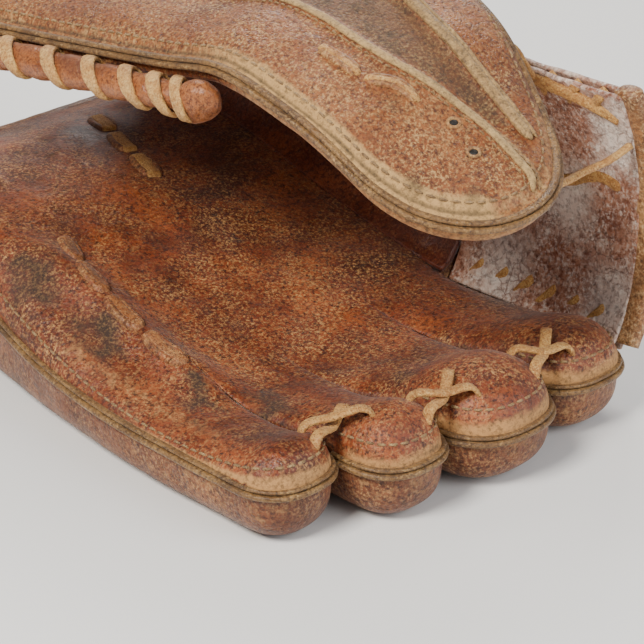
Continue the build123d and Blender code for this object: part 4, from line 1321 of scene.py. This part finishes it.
band_low, band_high = box_mm("web_top_band")
band_y = (band_low.y + band_high.y) / 2
band_z = np.linspace(band_low.z + 2, band_high.z - 2, 120)
band_x, band_z = bend_place(INNER_BEND + 1.6, band_z)
band_way = np.stack([band_x, np.full(120, band_y), band_z], 1)
band_out = band_way - np.array([WALL_X, band_y, WALL_Z])
band_out /= np.linalg.norm(band_out, axis=1)[:, None]
web_band = join_up([
    sweep("band", band_way, 4.4, 2.6, -band_out, corners=20, square=2.8),
    sweep("band_edge", band_way + np.array([0, -4.4, 0]) - band_out * 0.8, 1.0, 1.0, -band_out,
          corners=10, square=2),
], "web_band", merge=0.0001)
crumple(web_band, 1.2, 8)
apply_all(web_band)
paint(web_band, "wear", 0.34)
paint(web_band, "dirt_and_shade", 0.16)
band_hide = make_leather("band_hide", (0.136, 0.046, 0.013), (0.306, 0.127, 0.038), (0.459, 0.245, 0.095),
                         (0.647, 0.433, 0.214), speckle=0.8, grain=800, crackle=0.6)
finish_piece(web_band, band_hide, body="pocket", stands_for=["web_top_band"])


def wall_point(z, y, inward):
    """A place on the wall's inner face, lifted into the pocket by inward."""
    x, z = bend_place(INNER_BEND - inward, z)
    return (float(x), float(y), float(z))


def whip(name, node, body="pocket", loops=6, branch=False):
    """Whip lacing over an edge: slanting stitches with a long strand beside them."""
    low, high = box_mm(node)
    strands = []
    pitch = (high.y - low.y) / loops
    for loop in range(loops):
        y = low.y + (loop + 0.25) * pitch
        points = [wall_point(low.z - 0.5, y - 1.2, -1.0), wall_point(low.z + 1, y, 1.0),
                  wall_point((low.z + high.z) / 2, y + pitch * 0.25, 1.3),
                  wall_point(high.z - 1, y + pitch * 0.5, 1.0),
                  wall_point(high.z + 0.5, y + pitch * 0.6, -1.0)]
        way = spread(points, 26)
        strands.append(sweep("stitch", way, 1.7, 0.75, (1, 0, 0), corners=12, square=3))
    middle = (low.z + high.z) / 2
    if branch:
        long_way = spread([wall_point(high.z - 1, low.y + 1, 1.8), wall_point(middle + 2, low.y + 16, 2.5),
                           wall_point(middle + 1.5, low.y + 34, 2.7), wall_point(middle - 1, low.y + 50, 2.2),
                           wall_point(low.z - 1, high.y + 2, 1.0)], 90)
        strands.append(sweep("long_strand", long_way, 1.9, 0.9, (1, 0, 0), corners=12, square=3))
    lacing = join_up(strands, name, merge=0.0001)
    fray(lacing)
    finish_lace(lacing, body=body, stands_for=[node])


whip("web_lacing_thumb_side", "web_lace_thumb_side", branch=True)
whip("web_lacing_index_side", "web_lace_index_side")
links = []
for y in (-24, -14, -4, 6):
    edge_x = float(thumb_inner_x(y))
    edge_z = float(thumb_seam_height(edge_x, y))
    link_points = [wall_point(95, y - 2, 0.2), wall_point(98, y - 1, 2.0), wall_point(101, y, 3.2),
                   (edge_x - 2.5, y + 1, edge_z - 3.2), (edge_x + 2.5, y + 2, edge_z - 3.0)]
    links.append(sweep("link", spread(link_points, 30), 1.6, 0.75, (0, 0.2, 1), corners=12, square=3))
link_laces = join_up(links, "web_thumb_links", merge=0.0001)
fray(link_laces)
finish_lace(link_laces, blend=HIGH_FOLD)
cross_low, cross_high = box_mm("web_cross_lace")
cross_points = [wall_point(cross_low.z + 2.4 + 3 * math.sin(share * 9),
                           cross_low.y + (cross_high.y - cross_low.y) * share, 1.0)
                for share in np.linspace(0, 1, 9)]
cross_lace = sweep("web_cross_strand", spread(cross_points, 90), 2.0, 0.8, (1, 0, 0),
                   corners=12, square=3, taper=0.03)
fray(cross_lace)
finish_lace(cross_lace, body="pocket", stands_for=["web_cross_lace"])

# A lace runs from the band into the front of the thumb tip. A folded tab of leather lies by it.
(tip_hold,), _ = lie_on(surface_of(thumb_front), [(ridge_low.x - 9, ridge_high.y - 6, 82)], -0.8)
tip_points = [(band_low.x + 12.5, band_y - 2, 84), (band_low.x + 20, band_y - 3, 81.5),
              (band_low.x + 30, band_y - 4, 80.5), tip_hold + np.array([-8, 1, -4.5]), tip_hold]
tip_lace = sweep("thumb_tip_lace", spread(tip_points, 50), 1.7, 1.1, (0, -0.5, 1), corners=12, square=3)
fray(tip_lace)
finish_lace(tip_lace, blend=HIGH_FOLD)
tab_points = [wall_point(102, -3, 1.2), wall_point(99.5, 1, 2.2), wall_point(96.5, 4, 1.6)]
tab = sweep("web_tab", spread(tab_points, 24), 2.6, 0.9, (1, 0, 0), corners=14, square=2.4, taper=0.15)
paint(tab, "dirt_and_shade", 0.3)
finish_piece(tab, band_hide, body="pocket")

# ---- Inside of the wall and the hand's room ---------------------------------------------------------------
# Felt fills the wall and the heel of the palm, and strips of leather close their open ends. A soft
# suede lining faces the hand.


def pocket_felt_place(across, along):
    x, z = bend_place(INNER_BEND + 5.2, 26 + 70 * across)
    return x, HEEL_Y + 3 + (CROTCH_Y - 6 - HEEL_Y) * along, z


for part, upper, fold in (("lower", False, LOW_FOLD), ("upper", True, HIGH_FOLD)):
    for end_name, end_y, end_share, bulge in (("wrist", HEEL_Y + 1.5, 0, -1.5),
                                              ("web", CROTCH_Y - 1.4, 1, 1.2)):
        inner_face = wall_place(INNER_BEND, inner_low, inner_high, upper)
        outer_face = wall_place(OUTER_BEND, outer_low, outer_high, upper)

        def wall_end_place(across, along, inner_face=inner_face, outer_face=outer_face, end_y=end_y,
                           end_share=end_share, bulge=bulge):
            inner_x, _, inner_z = inner_face(across, end_share + 0 * across)
            outer_x, _, outer_z = outer_face(across, end_share + 0 * across)
            share = 0.06 + 0.88 * along
            return (inner_x + (outer_x - inner_x) * share, end_y + bulge * np.sin(np.pi * along),
                    inner_z + (outer_z - inner_z) * share)

        close_end(f"wall_{end_name}_end_{part}", wall_end_place,
                  outward=upper == (end_name == "wrist"), blend=fold)


def palm_end_place(across, along):
    x = FAR_X + 4 + (palm_edge(HEEL_Y) - FAR_X - 8) * across
    low = pocket_floor(HEEL_Y) - 16.4
    return x, HEEL_Y + 1.4 - 1.4 * np.sin(np.pi * along), low + (pocket_floor(HEEL_Y) - 1.4 - low) * along


close_end("palm_wrist_end", palm_end_place, "hand", leather=pocket_hide)
pocket_felt_pad = make_patch("pocket_felt_pad", 24, 30, pocket_felt_place)
thicken(pocket_felt_pad, 2.6, smooth=0)
finish_piece(pocket_felt_pad, wool_felt, body="pocket", stands_for=["pocket_felt"])
heel_low, heel_high = box_mm("heel_felt")


def heel_felt_place(across, along):
    y = heel_low.y + 2 + (heel_high.y - heel_low.y - 2) * along
    x = FAR_X + 7 + (palm_edge(y) - FAR_X - 19) * across
    return x, y, pocket_floor(y) - 9.9


heel_felt_pad = make_patch("heel_felt_pad", 24, 20, heel_felt_place)
thicken(heel_felt_pad, 5.0, smooth=0)
finish_piece(heel_felt_pad, wool_felt, body="hand", stands_for=["heel_felt"])


def lining_place(across, along):
    y = HEEL_Y + 1 + (-43 - HEEL_Y - 1) * along
    x = FAR_X + 4 + (palm_edge(y) - FAR_X - 12) * across
    bow = 3.5 * (2 * np.abs(across - 0.5)) ** 4
    return x, y, pocket_floor(y) - 10.2 - 5.2 * step(-y, 88, 108) - bow * step(-y, 88, 108)


suede = make_leather("lining_suede", (0.20, 0.105, 0.055), (0.36, 0.22, 0.125), (0.48, 0.33, 0.20),
                     (0.56, 0.42, 0.28), speckle=0.4, grain=1800, roughness=(0.8, 0.95), crackle=0.0)
hand_lining = make_patch("hand_lining_suede", 40, 50, lining_place)
crumple(hand_lining, 1.2, 20)
thicken(hand_lining, 1.2)
finish_piece(hand_lining, suede, body="hand", stands_for=["hand_lining"])

# ---- Wrist ------------------------------------------------------------------------------------------------
# Soft tape binds the wrist edge, the window and the split. A strap is laced across the split on the
# outside, and fleece pads the inside under it.


tape_hide = make_leather("tape_hide", (0.075, 0.023, 0.008), (0.190, 0.070, 0.024), (0.330, 0.145, 0.052),
                         (0.520, 0.299, 0.133), grain=1300, speckle=0.5, patchy=80)
edge_points = []
for finger in reversed(FINGERS):
    for side in np.linspace(1, -1, 14):
        edge_height = float(front_height(finger, side, HEEL_Y)) - 1.0
        edge_points.append((float(lane_place(finger, side, HEEL_Y)), edge_height))
back_points = []
for finger in FINGERS:
    for side in np.linspace(-1, 1, 14):
        near = dome_over(np.clip(abs(side), 0, 1), BACK_DOME)
        far = finger == "index" and side < 0
        little = finger == "little" and side > 0
        drop = near if far or little else 1.0
        height = seam_height(HEEL_Y) + (BACK_LOW + WRIST_LIFT + 1.0 - seam_height(HEEL_Y)) * drop
        back_points.append((float(lane_place(finger, side, HEEL_Y)), float(height)))
far_points = [(x, z) for x, z in back_points if x < SPLIT_X[0]]
near_points = [(x, z) for x, z in back_points if x > SPLIT_X[1]]
loop = near_points + edge_points + far_points
loop = [loop[0]] + [place for last, place in zip(loop, loop[1:]) if math.dist(last, place) > 0.6]
loop = np.array([(x, HEEL_Y + 0.8, z) for x, z in loop])
loop = spread(loop, 220)
loop_ahead = np.gradient(loop, axis=0)
loop_ups = np.stack([-loop_ahead[:, 2], 0 * loop[:, 0], loop_ahead[:, 0]], 1)
loop_ups /= np.linalg.norm(loop_ups, axis=1)[:, None]
wrist_tape = sweep("wrist_tape", loop, 2.2, 1.7, loop_ups, corners=12, square=2.4)
angles = np.linspace(-np.pi / 2 + 0.22, 1.5 * np.pi - 0.22, 120)
window_middle = Vector((sum(WINDOW_X) / 2, sum(WINDOW_Y) / 2, 0))
power = 2 / 3.5
window_loop = np.stack([
    window_middle.x + 30.4 * np.sign(np.cos(angles)) * np.abs(np.cos(angles)) ** power,
    window_middle.y + 16.4 * np.sign(np.sin(angles)) * np.abs(np.sin(angles)) ** power,
    np.full(120, 1.9),
], 1)
tapes = [sweep("window_tape", spread(window_loop, 160), 1.9, 1.55, corners=12, square=2.6)]
for split_x in SPLIT_X:
    split_y = np.linspace(WINDOW_Y[0] + 1, HEEL_Y + 1, 40)
    tapes.append(sweep("split_tape", np.stack([np.full(40, split_x), split_y, back_skin(split_y) + 1.5], 1),
                       1.7, 1.5, corners=12, square=2.6))
window_tape = join_up(tapes, "window_tape", merge=0.0001)
for tape, node in ((wrist_tape, "wrist_binding"), (window_tape, "window_binding")):
    crumple(tape, 0.4, 6)
    apply_all(tape)
    paint(tape, "wear", 0.2)
    paint(tape, "dirt_and_shade", 0.15)
    finish_piece(tape, tape_hide, body="hand", stands_for=[node])

strap_low, strap_high = box_mm("wrist_strap")


def fleece_place(start_x, end_x):
    def place(across, along):
        y = strap_low.y + 1 + (strap_high.y + 7 - strap_low.y) * along
        x = start_x + (end_x - start_x) * across
        puff = 1.5 * (1 - (2 * across - 1) ** 4) * (1 - (2 * along - 1) ** 4)
        return x, y, back_skin(y) + 4.2 + puff

    return place


fleece = join_up([
    make_patch("fleece", 30, 24, fleece_place(*ends))
    for ends in ((strap_low.x, SPLIT_X[0] - 2), (SPLIT_X[1] + 2, strap_high.x - 1))
], "wrist_fleece_pads", merge=0.0001)
crumple(fleece, 1.4, 3.5)
thicken(fleece, 2.2)
finish_piece(fleece, wool_felt, body="hand", stands_for=["wrist_fleece"])


def strap_place(across, along):
    corner = 1 - 0.22 * np.clip(np.abs(2 * across - 1) - 0.86, 0, 1) / 0.14
    x = strap_low.x + (strap_high.x - strap_low.x) * across
    y = (strap_low.y + strap_high.y) / 2 + (along - 0.5) * (strap_high.y - strap_low.y) * corner
    return x, y, back_skin(y) - 0.25


strap = make_patch("wrist_strap_leather", 70, 20, strap_place)
thicken(strap, 2.2, smooth=1)
apply_all(strap)
edge_round = strap.modifiers.new("edge", "BEVEL")
edge_round.width = 0.5 * MM
edge_round.segments = 2
edge_round.limit_method = "ANGLE"
apply_all(strap)
x, y, _ = read_points(strap).T
across = np.abs(2 * (x - strap_low.x) / (strap_high.x - strap_low.x) - 1)
along_strap = np.abs(2 * (y - strap_low.y) / (strap_high.y - strap_low.y) - 1)
paint(strap, "wear", 0.6 * step(np.maximum(across**3, along_strap), 0.85, 1.0))
paint(strap, "dirt_and_shade", 0.1)
finish_piece(strap, back_hide, body="hand", stands_for=["wrist_strap"])
stitch_low, stitch_high = box_mm("strap_lace")
holds = []
for stitch_x in (stitch_low.x + 1.5, stitch_low.x + 11.5, stitch_high.x - 9.5, stitch_high.x - 1.5):
    stitch_y = np.linspace(stitch_low.y, stitch_high.y, 24)
    under = back_skin(stitch_y) - 3.2
    dive = 1 - step(np.minimum(np.linspace(0, 1, 24), np.linspace(1, 0, 24)), 0, 0.18)
    holds.append(sweep("hold", np.stack([np.full(24, stitch_x), stitch_y, under + 1.6 * dive], 1),
                       1.5, 0.6, corners=10, square=3))
strap_holds = join_up(holds, "strap_lacing", merge=0.0001)
finish_lace(strap_holds, body="hand", stands_for=["strap_lace"])
